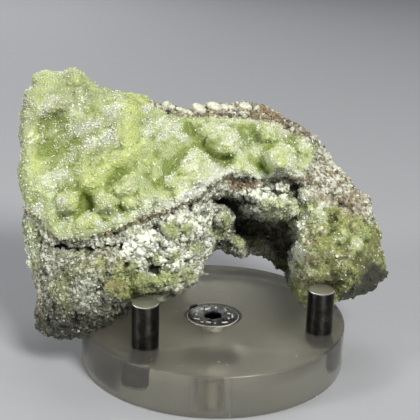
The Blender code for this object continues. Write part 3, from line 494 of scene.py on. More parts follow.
shelf = within(SHELF, 0.6, 0.5, 0.0) * front
olive_zone = within(OLIVE_ZONE, 0.9, 0.8) * front
left_leg = front * (u < -15.0) * rock
right_leg = within(RIGHT_LEG, 1.2, 1.0)
leg_middle = around(28.5, -8.5, 6.5, 2.5)
leg_foot = around(20.8, -17.4, 3.6, 1.8) * right_leg
# The right leg's left rim, painted lighter as if lit
lit_rim = right_leg * front * ramp(24.0, 21.0, u) * ramp(-22.0, -18.0, v)
glaze = right_leg * front * rock * ramp(8.0, 2.0, v)
glassy = near(GLASSY_SPOTS, 0.8) * front * rock
# The hollow is painted in shade, all but the knobs inside it
hollow_knobs = near(HOLLOW_KNOBS, 0.4) * in_hollow
hollow = within(HOLLOW, 0.4) * ramp(1.0, -3.0, w) * (1.0 - 0.85 * hollow_knobs)

# Colours of the crust and the dust on the rock, as shares from 0 to 1
yellow = top(near(YELLOW_LINES, 1.0), 0.7 * near(YELLOW_SPOTS, 0.6, 0.0)) * crust
yellow = top(yellow, 0.8 * leg_foot)
deep = top(near(DEEP_LINES, 0.4, 0.0), near(DEEP_SPOTS))
deep = top(deep * crust, near(MOSS, 0.8) * front * rock)
lip_width = 2.0 + 2.0 * ramp(-17.0, -10.0, u) * ramp(4.0, 1.0, u)
lip = crust * ramp(lip_width, 0.1 * lip_width, above_seam + 0.6 * wander)
lip *= (0.4 + 0.9 * ramp(-20.0, -12.0, u)) * (u < 22.0)
lip *= 1.0 + 0.5 * ramp(-10.0, -5.0, u) * ramp(6.0, 4.0, u)
lip *= 1.0 - ramp(-1.2, -2.5, above_seam) * (u > 8.0)
under_seam = ramp(1.1, 0.5, np.abs(above_seam + 1.8)) * (u < 4.0)
pale_band = near(PALE_LINES, 0.6, 0.0) * ramp(-0.1, 0.25, normals @ VIEW_BACK)
# White specks on the right leg's rim: partly its own pale grains and partly painted light
rim = 0.55 * ramp(22.5, 19.0, u) + 0.40 * ramp(-4.0, 0.0, v) * (u < 27.0)
rim_white = ramp(0.15, 0.6, wander + 0.6 * wide + rim) * np.clip(0.15 + 2.0 * rim, 0.0, 1.0)
rim_specks = ramp(28.0, 22.0, u) * ramp(-0.20, 0.35, drift(points, 0.9, 3.0))
white = top(
    0.8 * near(WHITE_SPOTS, 1.8, 1.6) * crust,
    lip,
    knobs * (0.45 + 0.55 * ramp(-0.35, 0.15, wide + 0.6 * wander)),
    1.5 * bright_knobs * ramp(-0.6, 0.1, wander),
    # On the shelf the white is partly its own white knobs and partly painted light
    shelf * ramp(-0.9, -0.1, wander) * (1.0 - 0.6 * crust),
    top(0.7 * under_seam * front, pale_band) * rock,
    0.75 * flank * ramp(-0.6, 0.2, wander + wide) * (1.0 - 0.7 * flank_low),
    (0.6 + 0.35 * lit_rim) * right_leg * top(rim_white, rim_specks) * front)
white *= (1.0 - 0.6 * leg_middle * right_leg) * (1.0 - 0.85 * leg_foot)
dusting = 0.45 * ramp(-0.1, 0.5, wide + wander) * ramp(-27.0, -17.0, v)
white = top(
    white,
    dusting * rock * (1.0 - 0.8 * right_leg),
    0.55 * crust * ramp(-0.1, 0.4, wander) * (u > -4.0),
    0.8 * hollow_knobs * rock,
    0.85 * ridge * near(PALE_RIDGE_SPOTS, 1.0, 0.6))
white *= 1.0 - 0.75 * deep
white *= (1.0 - 0.7 * glassy) * (1.0 - 0.8 * olive_lumps) * (1.0 - 0.55 * olive_zone)
deep = top(deep, 0.5 * olive_lumps, 0.45 * leg_middle * right_leg * front * rock * ramp(-0.5, 0.2, wander))
tan = top(ridge, 0.8 * flank, behind * rock * ramp(-0.35, 0.3, wide))
brown = ramp(0.62, 0.25, np.abs(above_seam + 0.4 + 0.3 * wide)) * (u > -42.0) * (u < 23.0)
brown *= (ramp(-0.30, 0.10, drift(points, 1.1, 9.0) + 0.25 * (u > -24.0))
          * ramp(-6.0, -2.0, w - middle_depth))
brown = top(
    brown,
    within(BROWN_PATCH, 0.5) * front,
    near(RIDGE_LINES) * ramp(-0.2, 0.2, wander),
    0.8 * behind * ramp(0.25, 0.6, wide + 0.5 * wander) * rock,
    0.9 * ridge * ramp(-0.05, 0.25, drift(points, 2.2, 7.0)) * (u > 8.0),
    0.6 * flank_low * ramp(-0.3, 0.1, drift(points, 1.3, 15.0)) * front,
    0.45 * near(TAN_SPOTS, 1.0) * front)
white *= 1.0 - 0.85 * brown
olive = top(
    near(OLIVE_SPOTS, 0.5, 0.0),
    right_leg * ramp(8.0, 2.0, v),
    olive_zone,
    glassy,
    0.35 * left_leg * ramp(0.0, -0.4, wide),
    behind * ramp(-0.1, -0.5, wide) * 0.7)

# Dark places: painted shade, and the rock's own dark cracks, pits and specks
# Painted shade on the toe and over the bottom of the left foot
toe = near(TOE_SPOTS, 1.0) * (u > 30.0)
foot = (u < -15.0) * rock * ramp(-19.0, -27.0, v + 1.5 * wander)
pits = ramp(0.10, 0.34, drift(points, 0.9, 5.0))
seam_specks = ramp(0.22, 0.40, drift(points, 0.7, 12.0)) * ramp(2.0, 0.8, np.abs(above_seam + 1.2))
shade = top(
    # Cracks, slots and pits: partly the rock's own dark holes and partly painted shade
    near(DARK_LINES, 0.0, 0.3) * front,
    near(DARK_SPOTS) * 0.98,
    pits * top(0.95 * ridge, 0.4 * flank) * front,
    # Painted shade over the whole ridge, the foot, the toe and the right leg's far side
    0.25 * ridge,
    0.92 * foot,
    0.98 * toe,
    0.35 * right_leg * ramp(32.0, 37.0, u) * ramp(0.0, -5.0, v),
    # Dark specks along the seam
    0.8 * seam_specks * front)
# Painted shade in the hollow and on faces turned down
shade = top(shade * rock, 0.8 * hollow, 0.55 * ramp(-0.35, -0.8, normals[:, 2]))

# Relief of the body, as (zone, kind of lumps, their size, height, middle level), in millimetres
weigh(stone, "crust", crust)
weigh(stone, "rough", rock)
weigh(stone, "turned away", crust * ramp(1.0, -2.5, w - middle_depth))
weigh(stone, "grained", rock * (1.0 - 0.6 * right_leg) * (1.0 - 0.7 * flank) * (1.0 - 0.4 * left_leg))
weigh(stone, "knobs", top(knobs, 0.7 * shelf))
for zone, kind, size, height, middle in (
        ("crust", 'VORONOI', 3.4, -0.9, 0.25),
        ("crust", 'VORONOI', 1.75, -0.48, 0.25),
        ("turned away", 'VORONOI', 5.6, -1.5, 0.25),
        ("rough", 'VORONOI', 3.8, -1.1, 0.25),
        ("rough", 'CLOUDS', 2.2, 1.3, 0.55),
        ("grained", 'VORONOI', 1.3, -0.75, 0.25),
        ("knobs", 'VORONOI', 2.1, -1.15, 0.3)):
    displace(stone, kind, size, height, zone, middle, 2)

points = clear_of_stand(read(stone.data.vertices, "co", 3) / MM, STONE_GAP)
move_points(stone.data, points)
edges = read(stone.data.edges, "vertices", 2, np.int64)
normals = read(stone.data.vertices, "normal", 3)
smoothed = relax(points, edges, FINE_ROUNDS)
# Relief follows the body's small bumps and gaps, and bulge its broad domes and hollows. Low values are
# painted shade in gaps and creases, high relief takes white dust, and high bulge is painted light on domes
overhang = ramp(2.6, 1.2, np.abs(above_seam + 1.6)) * front * ramp(-23.0, -17.0, u)
# Lifted raises the relief on the knobs and the left leg, and as painted light on the shelf, under the
# crust's overhang, on the right leg's lit rim and on the knobs in the hollow
lifted = (0.12 * knobs + 0.055 * left_leg + top(0.16 * shelf, 0.14 * overhang) + 0.14 * bright_knobs
          + 0.20 * lit_rim + 0.15 * hollow_knobs)
relief = np.clip(0.5 + 1.6 * ((points - smoothed) * normals).sum(axis=1) + lifted, 0.0, 1.0)
smoothed = relax(smoothed, edges, BROAD_ROUNDS)
# Painted light: the crust's right part and the tops of the raised domes are lighter
bulge = 0.5 + 0.55 * ((points - smoothed) * normals).sum(axis=1) + 0.05 * ramp(-4.0, 2.0, u)
bulge = np.clip(bulge + 0.10 * rise * from_front, 0.0, 1.0)
# Painted light on the listed domes
bulge = np.clip(bulge + 0.22 * near(LIT_DOMES), 0.0, 1.0)

MASKS = {
    "crust": crust,
    "glass": top(crust * (1.0 - 0.4 * ramp(-6.0, 0.0, u)), 0.75 * glaze, glassy),
    "yellow": yellow,
    "deep": deep,
    "white": white,
    "tan": tan,
    "brown": brown,
    "olive": olive,
    "orange": near(ORANGE_SPOTS, 1.0),
    "shade": shade,
    # The crust turns greyer in patches towards its upper left
    "upper_left_grey": crust * ramp(-18.0, -23.0, u) * ramp(9.0, 14.0, v) * ramp(-0.6, 0.2, wide + wander),
    "relief": relief,
    "bulge": bulge,
}
stone.vertex_groups.clear()
for mask_name, mask in MASKS.items():
    give(stone.data, mask_name, mask)
give(stone.data, "tone", np.clip(0.5 + 0.5 * wander, 0.0, 1.0))
stone.data.shade_smooth()

# Colours of the stone; LIT_GREEN is painted light on the domes, and NEAR_BLACK is painted shade as well as
# the darkest holes
GREEN = (0.395, 0.475, 0.165)
PALE_GREEN = (0.47, 0.54, 0.275)
YELLOW_GREEN = (0.53, 0.61, 0.20)
LIT_GREEN = (0.56, 0.63, 0.30)
DEEP_GREEN = (0.185, 0.24, 0.035)
DRUSE_WHITE = (0.78, 0.81, 0.69)
GREY_GREEN = (0.17, 0.18, 0.105)
PALE_GREY = (0.50, 0.50, 0.41)
OLIVE = (0.245, 0.265, 0.070)
PALE_OLIVE = (0.425, 0.46, 0.185)
MOSS_GREEN = (0.085, 0.095, 0.022)
CREAM = (0.66, 0.63, 0.49)
TAN = (0.27, 0.20, 0.105)
ORANGE_TAN = (0.37, 0.285, 0.135)
SEAM_BROWN = (0.14, 0.09, 0.05)
RUST = (0.36, 0.275, 0.175)
UPPER_LEFT_GREY = (0.26, 0.255, 0.18)
NEAR_BLACK = (0.022, 0.022, 0.016)


# The next helpers add to the material or group in hand, whose nodes are in tree and shader
def fill(node, values):
    """Set a node's inputs, each to a value or to another node's output."""
    for key, value in values.items():
        socket = node.inputs[key]
        if isinstance(value, bpy.types.NodeSocket):
            tree.links.new(value, socket)
        else:
            socket.default_value = (*value, 1.0) if socket.type == 'RGBA' else value


def place(kind, values=None, **settings):
    """Add a node, with its settings and its inputs."""
    node = tree.nodes.new("ShaderNode" + kind)
    for name, value in settings.items():
        setattr(node, name, value)
    fill(node, values or {})
    return node


def blend(share, first, second, how='MIX'):
    """Mix two colours by a share."""
    return place("Mix", {0: share, 6: first, 7: second}, data_type='RGBA', blend_type=how).outputs[2]


def sum_up(how, first, second=0.0, third=0.0, clamp=False):
    """Do one sum on numbers or node outputs."""
    return place("Math", {0: first, 1: second, 2: third}, operation=how, use_clamp=clamp).outputs[0]


def times(first, second):
    """Multiply two numbers or node outputs."""
    return sum_up('MULTIPLY', first, second)


def spread(value, low, high, out_low=0.0, out_high=1.0):
    """Stretch a range of values to another range, smoothly and clamped."""
    return place("MapRange", {"Value": value, "From Min": low, "From Max": high, "To Min": out_low,
                              "To Max": out_high}, interpolation_type='SMOOTHSTEP').outputs[0]


def own_place():
    """Return the object's own coordinates."""
    return place("TexCoord").outputs["Object"]


def grain_noise(size, detail=2.0, roughness=0.5):
    """Smooth noise with lumps of one size, in millimetres."""
    return place("TexNoise", {"Vector": own_place(), "Scale": 1.0 / (size * MM), "Detail": detail,
                              "Roughness": roughness}).outputs["Fac"]


def cells(size):
    """Return the distance from the middles of round cells of one size, in millimetres."""
    return place("TexVoronoi", {"Vector": own_place(), "Scale": 1.0 / (size * MM)}).outputs["Distance"]


def painted(name):
    """Read one of the stone's masks."""
    return place("Attribute", attribute_name=name).outputs["Fac"]


def new_group(name, inputs, output, kind):
    """Start a node group with named number inputs and one named output."""
    group = bpy.data.node_groups.new(name, 'ShaderNodeTree')
    for socket_name in inputs:
        socket = group.interface.new_socket(socket_name, in_out='INPUT', socket_type='NodeSocketFloat')
        socket.default_value = 1.0
    group.interface.new_socket(output, in_out='OUTPUT', socket_type=kind)
    return group, group.nodes.new("NodeGroupInput"), group.nodes.new("NodeGroupOutput")


stone_colours, group_in, group_out = new_group("stone colours", ["Speckle"], "Color", 'NodeSocketColor')
tree = stone_colours
tone = painted("tone")
olive_mask = painted("olive")
crust_mask = painted("crust")
white_mask = painted("white")
relief_mask = painted("relief")
fine = grain_noise(0.9, 3.0, 0.6)
broad = grain_noise(4.5, 2.0)
own_tone = times(sum_up('SUBTRACT', tone, 0.5), spread(olive_mask, 0.2, 1.0, 1.0, 0.3))
fine_tone = sum_up('MULTIPLY_ADD', own_tone, 0.5, sum_up('ADD', fine, 0.25))
matrix = blend(spread(fine_tone, 0.62, 1.05), GREY_GREEN, PALE_GREY)
olive_share = times(olive_mask, spread(fine, 0.30, 0.50, 0.35, 1.0))
matrix = blend(olive_share, matrix, blend(spread(fine_tone, 0.55, 1.0), OLIVE, PALE_OLIVE))
sandy = blend(spread(fine_tone, 0.57, 0.95), TAN, CREAM)
matrix = blend(times(painted("tan"), spread(broad, 0.30, 0.50, 0.6, 1.0)), matrix, sandy)
matrix = blend(times(painted("orange"), spread(fine, 0.36, 0.62, 0.0, 0.9)), matrix, ORANGE_TAN)
brown_share = times(painted("brown"), spread(fine, 0.36, 0.50))
matrix = blend(brown_share, matrix, blend(spread(fine_tone, 0.55, 1.0), SEAM_BROWN, RUST))
dusted = times(white_mask, spread(relief_mask, 0.28, 0.60))
matrix = blend(times(dusted, spread(fine_tone, 0.45, 0.72)), matrix, DRUSE_WHITE)
open_gaps = times(spread(olive_mask, 0.2, 1.0, 0.78, 0.35), spread(painted("tan"), 0.2, 1.0, 1.0, 0.3))
# Deep marks turn moss green: partly the rock's own dark olive and partly painted shade in notches
matrix = blend(times(painted("deep"), spread(fine, 0.25, 0.55, 0.45, 0.9)), matrix, MOSS_GREEN)
# Painted shade: where the relief is low, the gaps between grains darken to near black
matrix = blend(times(spread(relief_mask, 0.40, 0.15), open_gaps), matrix, NEAR_BLACK)
green = blend(spread(broad, 0.30, 0.70), GREEN, PALE_GREEN)
# Painted light: the raised domes turn a lighter green
green = blend(spread(painted("bulge"), 0.52, 0.85, 0.0, 0.6), green, LIT_GREEN)
yellow_share = times(painted("yellow"), spread(grain_noise(1.8, 2.0), 0.30, 0.65, 0.40, 0.85))
green = blend(yellow_share, green, YELLOW_GREEN)
green = blend(times(white_mask, spread(fine_tone, 0.50, 0.95, 0.28, 0.92)), green, DRUSE_WHITE)
# The crust's upper left turns greyer
green = blend(times(painted("upper_left_grey"), 0.42), green, UPPER_LEFT_GREY)
# Deep green in creases, broad hollows and small gaps: partly the crust's own deeper green and partly
# painted shade
hidden = times(painted("deep"), spread(fine, 0.20, 0.60, 0.45, 0.95))
hidden = sum_up('MAXIMUM', hidden, spread(painted("bulge"), 0.48, 0.16))
hidden = sum_up('MAXIMUM', hidden, spread(relief_mask, 0.32, 0.05))
green = blend(times(hidden, 0.78), green, DEEP_GREEN)
green = blend(times(painted("orange"), 0.6), green, CREAM)
whole = blend(crust_mask, matrix, green)
# Painted shade and dark holes from the shade mask go near black
whole = blend(times(painted("shade"), 0.9), whole, NEAR_BLACK)
speck = sum_up('MULTIPLY_ADD', own_tone, group_in.outputs["Speckle"], 1.0)
speck = place("CombineColor", {0: speck, 1: speck, 2: speck}).outputs[0]
fill(group_out, {"Color": blend(1.0, whole, speck, 'MULTIPLY')})


def new_material(name):
    """Start a material and return it with its tree and its shader."""
    material = bpy.data.materials.new(name)
    material.use_nodes = True
    return material, material.node_tree, material.node_tree.nodes["Principled BSDF"]


def use_group(group, **values):
    """Place a node group, set its inputs and return its output."""
    node = tree.nodes.new("ShaderNodeGroup")
    node.node_tree = group
    fill(node, values)
    return node.outputs[0]


def bump(height, distance, strength=1.0):
    """Give the shader fine relief from a height, in millimetres."""
    node = place("Bump", {"Height": height, "Distance": distance * MM, "Strength": strength})
    fill(shader, {"Normal": node.outputs[0]})


def glow(weight, radius, depth):
    """Return the inputs of a stone that light goes into, with the depth in millimetres."""
    return {"Subsurface Weight": weight, "Subsurface Radius": radius, "Subsurface Scale": depth * MM}


def paint(obj, *materials):
    """Give a piece its materials alone."""
    obj.data.materials.clear()
    for material in materials:
        obj.data.materials.append(material)


GREEN_LIGHT = (0.8, 1.0, 0.35)
stone_material, tree, shader = new_material("smithsonite and matrix")
fill(shader, {"Base Color": use_group(stone_colours, Speckle=0.25)})
glass_mask = painted("glass")
fill(shader, {
    "Roughness": sum_up('MULTIPLY_ADD', painted("shade"), 0.3, spread(glass_mask, 0.0, 1.0, 0.62, 0.30)),
    "IOR": 1.62,
    "Specular IOR Level": 0.22,
    "Coat Weight": times(glass_mask, 0.7),
    "Coat Roughness": 0.28,
    **glow(spread(glass_mask, 0.0, 1.0, 0.12, 0.62), GREEN_LIGHT, 1.0)})
rough_relief = sum_up('ADD', cells(0.60), grain_noise(0.35, 2.0))
bump(times(rough_relief, spread(glass_mask, 0.0, 1.0, 1.0, 0.6)), 0.20)
paint(stone, stone_material)
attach(stone, "root")
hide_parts("smithsonite_stone")


# Grains of the stone: thousands of small crystals and knobs that grew on the body above. One is
# modelled, and its copies are joined as one mesh, each with its own size, tilt and tone.

GRAIN_GAP = 0.15

stone.data.calc_loop_triangles()
triangles = read(stone.data.loop_triangles, "vertices", 3, np.int64)
corner = points[triangles]
first_side = corner[:, 1] - corner[:, 0]
second_side = corner[:, 2] - corner[:, 0]
triangle_area = 0.5 * np.linalg.norm(np.cross(first_side, second_side), axis=1)


def shape_arrays(obj):
    """Take a modelled grain's points and triangles, and remove the grain."""
    apply_modifier(obj, 'TRIANGULATE')
    spots = read(obj.data.vertices, "co", 3) / MM
    faces = np.array([list(face.vertices) for face in obj.data.polygons])
    bpy.data.objects.remove(obj)
    return spots, faces


def unit(vectors):
    """Scale vectors to a length of one."""
    return vectors / np.maximum(np.linalg.norm(vectors, axis=1, keepdims=True), 1e-9)


def lumpy_grains(segments, rings, dent):
    """Model three dented round grains with the same faces."""
    grains = []
    for dent_size in (0.50, 0.62, 0.77):
        bpy.ops.object.select_all(action='DESELECT')
        bpy.ops.mesh.primitive_uv_sphere_add(segments=segments, ring_count=rings, radius=0.5 * MM)
        displace(bpy.context.object, 'CLOUDS', dent_size, dent)
        spots, faces = shape_arrays(bpy.context.object)
        grains.append(spots)
    return np.array(grains), faces


def grow(name, shapes, count, weight, size, variety, stretch, tilt, lift, seed, material, smooth=True):
    """Copy grains to random places of the stone, and join the copies as one mesh."""
    kinds, faces = shapes
    random = np.random.default_rng(seed)
    spots = kinds[random.integers(len(kinds), size=count)]
    chance = triangle_area * np.maximum(weight, 0.0)[triangles].mean(axis=1)
    chosen = triangles[random.choice(len(triangles), size=count, p=chance / chance.sum())]
    share = random.dirichlet((1.0, 1.0, 1.0), count)[:, :, None]
    upward = unit(unit((normals[chosen] * share).sum(axis=1)) + tilt * random.normal(size=(count, 3)))
    side = unit(np.cross(upward, random.normal(size=(count, 3))))
    turn = np.stack([side, np.cross(upward, side), upward], axis=1)
    length = size * np.exp(variety * np.clip(random.normal(size=count), -2.0, 1.6))
    tall = stretch * np.exp(0.2 * random.normal(size=count))
    local = spots * (length[:, None] * np.stack([np.ones(count), np.ones(count), tall], axis=1))[:, None, :]
    local[:, :, 2] += (lift * length)[:, None]
    placed = np.einsum('nki,nij->nkj', local, turn) + (points[chosen] * share).sum(axis=1)[:, None, :]
    x, y, z = placed.transpose(2, 0, 1)
    clear = ~((np.hypot(x, y) < DISC_RADIUS + 0.2) & (z < DISC_TOP + 0.02)).any(axis=1)
    for peg_x, peg_y in PEG_CENTRES.values():
        gap = np.hypot(x - peg_x, y - peg_y)
        clear &= ~((gap < PEG_RADIUS + GRAIN_GAP) & (z < PEG_TOP + GRAIN_GAP)).any(axis=1)
    placed, chosen, share = placed[clear], chosen[clear], share[clear]
    kept, corners = placed.shape[:2]
    mesh = bpy.data.meshes.new(name)
    all_faces = (faces[None, :, :] + (np.arange(kept) * corners)[:, None, None]).reshape(-1, 3)
    mesh.from_pydata((placed.reshape(-1, 3) * MM).tolist(), [], all_faces.tolist())
    grains = bpy.data.objects.new(name, mesh)
    bpy.context.scene.collection.objects.link(grains)
    for key, mask in MASKS.items():
        values = (mask[chosen] * share[:, :, 0]).sum(axis=1)
        if key == "relief":
            values = np.clip(values + 0.12, 0.0, 1.0)
        give(mesh, key, np.repeat(values, corners))
    give(mesh, "tone", np.repeat(random.random(kept), corners))
    if smooth:
        mesh.shade_smooth()
    paint(grains, material)
    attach(grains, "root")


# One druse crystal: a cube on its corner, a little flattened
bpy.ops.object.select_all(action='DESELECT')
bpy.ops.mesh.primitive_cube_add(size=1.0 * MM)
crystal = bpy.context.object
crystal.rotation_euler = (math.radians(45.0), math.radians(-35.264), 0.0)
bpy.ops.object.transform_apply(location=True, rotation=True, scale=True)
crystal.scale = (1.0, 1.0, 0.85)
bpy.ops.object.transform_apply(location=True, rotation=True, scale=True)
crystal_spots, crystal_faces = shape_arrays(crystal)
crystal_shapes = crystal_spots[None], crystal_faces

# Round knobs and smaller grains, each of three kinds
knob_shapes = lumpy_grains(7, 4, 0.7)
grain_shapes = lumpy_grains(5, 3, 0.35)

bead_material, tree, shader = new_material("druse beads")
fill(shader, {
    "Base Color": use_group(stone_colours, Speckle=0.16),
    "Roughness": spread(painted("tone"), 0.0, 1.0, 0.50, 0.15),
    "IOR": 1.62,
    **glow(0.5, GREEN_LIGHT, 0.5)})

point_material, tree, shader = new_material("druse crystal tips")
fill(shader, {
    "Base Color": (0.88, 0.91, 0.80),
    "Roughness": spread(painted("tone"), 0.0, 1.0, 0.34, 0.14),
    "IOR": 1.85,
    **glow(0.3, (1.0, 1.0, 0.8), 0.6)})

grain_material, tree, shader = new_material("matrix grains")
fill(shader, {
    "Base Color": use_group(stone_colours, Speckle=0.5),
    "Roughness": spread(painted("tone"), 0.0, 1.0, 0.60, 0.22),
    "IOR": 1.65})
bump(grain_noise(0.3, 2.0), 0.08)

bare = (1.0 - 0.85 * glassy) * (1.0 - 0.7 * np.clip(shade, 0.0, 1.0))
front_rough = rock * front * (1.0 - 0.6 * hollow) * (1.0 - 0.85 * glaze) * (1.0 - 0.8 * flank)
front_rough = front_rough * bare * (1.0 - toe)
knob_share = top(knobs, 0.4 * shelf) * rock * (1.0 - 0.9 * olive_lumps) * (1.0 - 0.6 * olive_zone)
knob_share = knob_share * bare * (1.0 - 0.4 * near(GREEN_LUMPS))
patchy = ramp(-0.25, 0.35, wide + 0.6 * wander)
point_share = crust * (0.16 + 0.5 * relief * patchy + 1.4 * white - 0.8 * yellow - 0.7 * deep)
point_share = point_share * (1.0 - 0.7 * ramp(-6.0, 1.0, u)) + 0.10 * glaze * (1.0 - shade)
bead_share = top(crust, 0.35 * glaze) * (0.4 + relief)
grow("crust_beads", grain_shapes, 8200, bead_share, size=0.66, variety=0.32,
     stretch=0.8, tilt=0.25, lift=-0.16, seed=11, material=bead_material)
grow("crust_points", crystal_shapes, 2500, point_share, size=0.20, variety=0.20,
     stretch=1.1, tilt=0.5, lift=1.0, seed=15, material=point_material, smooth=False)
grow("white_knobs", knob_shapes, 4600, knob_share * (0.05 + relief ** 1.5), size=0.72, variety=0.32,
     stretch=1.3, tilt=0.7, lift=0.02, seed=12, material=grain_material)
leg_share = front_rough * (1.0 - 0.5 * knob_share) * (0.25 + relief)
grow("leg_grains", crystal_shapes, 16000, leg_share, size=0.42, variety=0.30,
     stretch=1.1, tilt=0.5, lift=0.10, seed=13, material=grain_material, smooth=False)
grow("back_grains", grain_shapes, 9600, rock * behind * (0.3 + relief), size=0.62, variety=0.3,
     stretch=1.1, tilt=0.4, lift=0.0, seed=14, material=grain_material)


# Bubbles along the ridge: smooth cream-white blebs of late smithsonite that sit on its crest.
# They are single round growths of the stone, joined as one mesh.

CREST_BUBBLES = [
    (-11.0, 24.0, 1.1), (-9.4, 23.5, 1.0), (-7.9, 23.1, 1.0), (-6.5, 22.6, 0.9), (-5.1, 22.2, 0.9),
    (-2.9, 23.5, 1.8), (0.4, 24.0, 1.6), (2.2, 24.0, 1.3), (4.1, 23.7, 1.0), (7.5, 24.6, 1.5),
    (9.9, 23.7, 0.9),
]

blebs = []
random = np.random.default_rng(21)
seen_u, seen_v, seen_w = to_drawing(points)
for at_u, at_v, radius in CREST_BUBBLES:
    foot_at = points[np.argmin(np.hypot(seen_u - at_u, seen_v - (at_v - 0.4 * radius)) * 8.0 - seen_w)]
    bpy.ops.object.select_all(action='DESELECT')
    bpy.ops.mesh.primitive_ico_sphere_add(subdivisions=3, radius=radius * MM, location=foot_at * MM)
    bleb = bpy.context.object
    bleb.scale = (0.9 + 0.4 * random.random(), 1.0, 0.65 + 0.2 * random.random())
    bleb.rotation_euler = (0.0, 0.5 * random.normal(), 0.0)
    bpy.ops.object.transform_apply(location=True, rotation=True, scale=True)
    blebs.append(bleb)
for bleb in blebs:
    bleb.select_set(True)
bpy.ops.object.join()
bubbles = bpy.context.object
bubbles.name = "ridge_bubbles"
displace(bubbles, 'CLOUDS', 1.1, 0.35)
bubbles.data.shade_smooth()
bubble_material, tree, shader = new_material("cream bubbles")
fill(shader, {
    "Base Color": blend(spread(grain_noise(0.9, 3.0), 0.40, 0.65), (0.58, 0.59, 0.45), (0.80, 0.81, 0.70)),
    "Roughness": 0.38,
    **glow(0.3, (1.0, 1.0, 0.7), 0.8)})
bump(grain_noise(0.35, 2.0), 0.08)
paint(bubbles, bubble_material)
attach(bubbles, "root")


# Acrylic disc: a turned disc of clear cast acrylic, 10 mm thick, with satin faces. It has blind
# holes for the pegs and a countersunk hole for the screw.

DISC_BEVEL = 0.45
HOLE_RADIUS = 2.99
HOLE_DEPTH = 8.3
SINK_RADIUS = 6.9
SHANK_HOLE_RADIUS = 3.15
SINK_RIM = 9.15
SINK_NECK = 5.4
SHANK_HOLE_FOOT = 1.3


def cylinder(name, radius, low, high, segments, centre=(0.0, 0.0)):
    """Add an upright cylinder between two heights, in millimetres."""
    bpy.ops.object.select_all(action='DESELECT')
    bpy.ops.mesh.primitive_cylinder_add(
        vertices=segments, radius=radius * MM, depth=(high - low) * MM,
        location=(centre[0] * MM, centre[1] * MM, 0.5 * (low + high) * MM))
    obj = bpy.context.object
    obj.name = name
    bpy.ops.object.transform_apply(location=True, rotation=True, scale=True)
    return obj


def cut_out(obj, cutter):
    """Take one shape out of another and remove the cutter."""
    apply_modifier(obj, 'BOOLEAN', operation='DIFFERENCE', solver='EXACT', object=cutter)
    bpy.data.objects.remove(cutter)


def pick(obj, kind, test):
    """Open a piece in edit mode with only those edges or faces selected that pass a test."""
    only(obj)
    bpy.ops.object.mode_set(mode='EDIT')
    bpy.ops.mesh.select_mode(type=kind)
    bpy.ops.mesh.select_all(action='DESELECT')
    bpy.ops.object.mode_set(mode='OBJECT')
    for item in obj.data.edges if kind == 'EDGE' else obj.data.polygons:
        item.select = test(item)
    bpy.ops.object.mode_set(mode='EDIT')


def round_ends(obj, heights, width, steps=2):
    """Bevel the edges between points at some heights, in millimetres."""
    at_end = [min(abs(spot.co.z / MM - height) for height in heights) < 0.01 for spot in obj.data.vertices]
    pick(obj, 'EDGE', lambda edge: all(at_end[i] for i in edge.vertices))
    bpy.ops.mesh.bevel(offset=width * MM, segments=steps, affect='EDGES')
    bpy.ops.object.mode_set(mode='OBJECT')


def smooth_sides(obj):
    """Shade a turned piece smooth, with its rims left sharp."""
    only(obj)
    bpy.ops.object.shade_smooth_by_angle(angle=math.radians(30.0))


disc = cylinder("acrylic_disc_satin", DISC_RADIUS, 0.0, DISC_TOP, 180)
round_ends(disc, (0.0, DISC_TOP), DISC_BEVEL, 3)
for centre in PEG_CENTRES.values():
    cut_out(disc, cylinder("peg_hole", HOLE_RADIUS, DISC_TOP - HOLE_DEPTH, DISC_TOP + 1.0, 64, centre))
cut_out(disc, cylinder("countersink", SINK_RADIUS, SINK_RIM, DISC_TOP + 1.0, 96))
bpy.ops.mesh.primitive_cone_add(
    vertices=96, radius1=SHANK_HOLE_RADIUS * MM, radius2=SINK_RADIUS * MM,
    depth=(SINK_RIM - SINK_NECK) * MM, location=(0.0, 0.0, 0.5 * (SINK_RIM + SINK_NECK) * MM))
cone = bpy.context.object
bpy.ops.object.transform_apply(location=True, rotation=True, scale=True)
cut_out(disc, cone)
cut_out(disc, cylinder("shank_hole", SHANK_HOLE_RADIUS, SHANK_HOLE_FOOT, SINK_NECK + 0.2, 64))
smooth_sides(disc)

dust, group_in, group_out = new_group("dust specks", ["Amount", "Size"], "Dust", 'NodeSocketFloat')
tree = dust
speck_reach = times(group_in.outputs["Size"], 0.075)
specks = sum_up('LESS_THAN', cells(2.4), speck_reach)
patches = spread(grain_noise(7.0, 2.0), 0.46, 0.60)
fill(group_out, {"Dust": times(times(specks, patches), group_in.outputs["Amount"])})


def own_height():
    """Return the height over the disc's underside."""
    return place("SeparateXYZ", {0: own_place()}).outputs["Z"]


acrylic, tree, shader = new_material("satin clear acrylic")
wear = use_group(dust, Amount=0.9, Size=1.0)

# Heights and distances in a material are metres, as the object's own coordinates are
height = own_height()
on_top = spread(height, 0.0095, 0.0098)
dust_on_top = times(wear, spread(on_top, 0.0, 1.0, 0.4, 1.0))
haze_and_sink_shade = spread(grain_noise(14.0, 2.0), 0.35, 0.65)
haze_and_sink_shade = blend(haze_and_sink_shade, (0.935, 0.915, 0.795), (0.965, 0.945, 0.845))
spot = place("Mapping", {"Vector": own_place(), "Scale": (1.0, 1.0, 0.0)}).outputs[0]
from_middle = place("VectorMath", {0: spot}, operation='LENGTH').outputs["Value"]
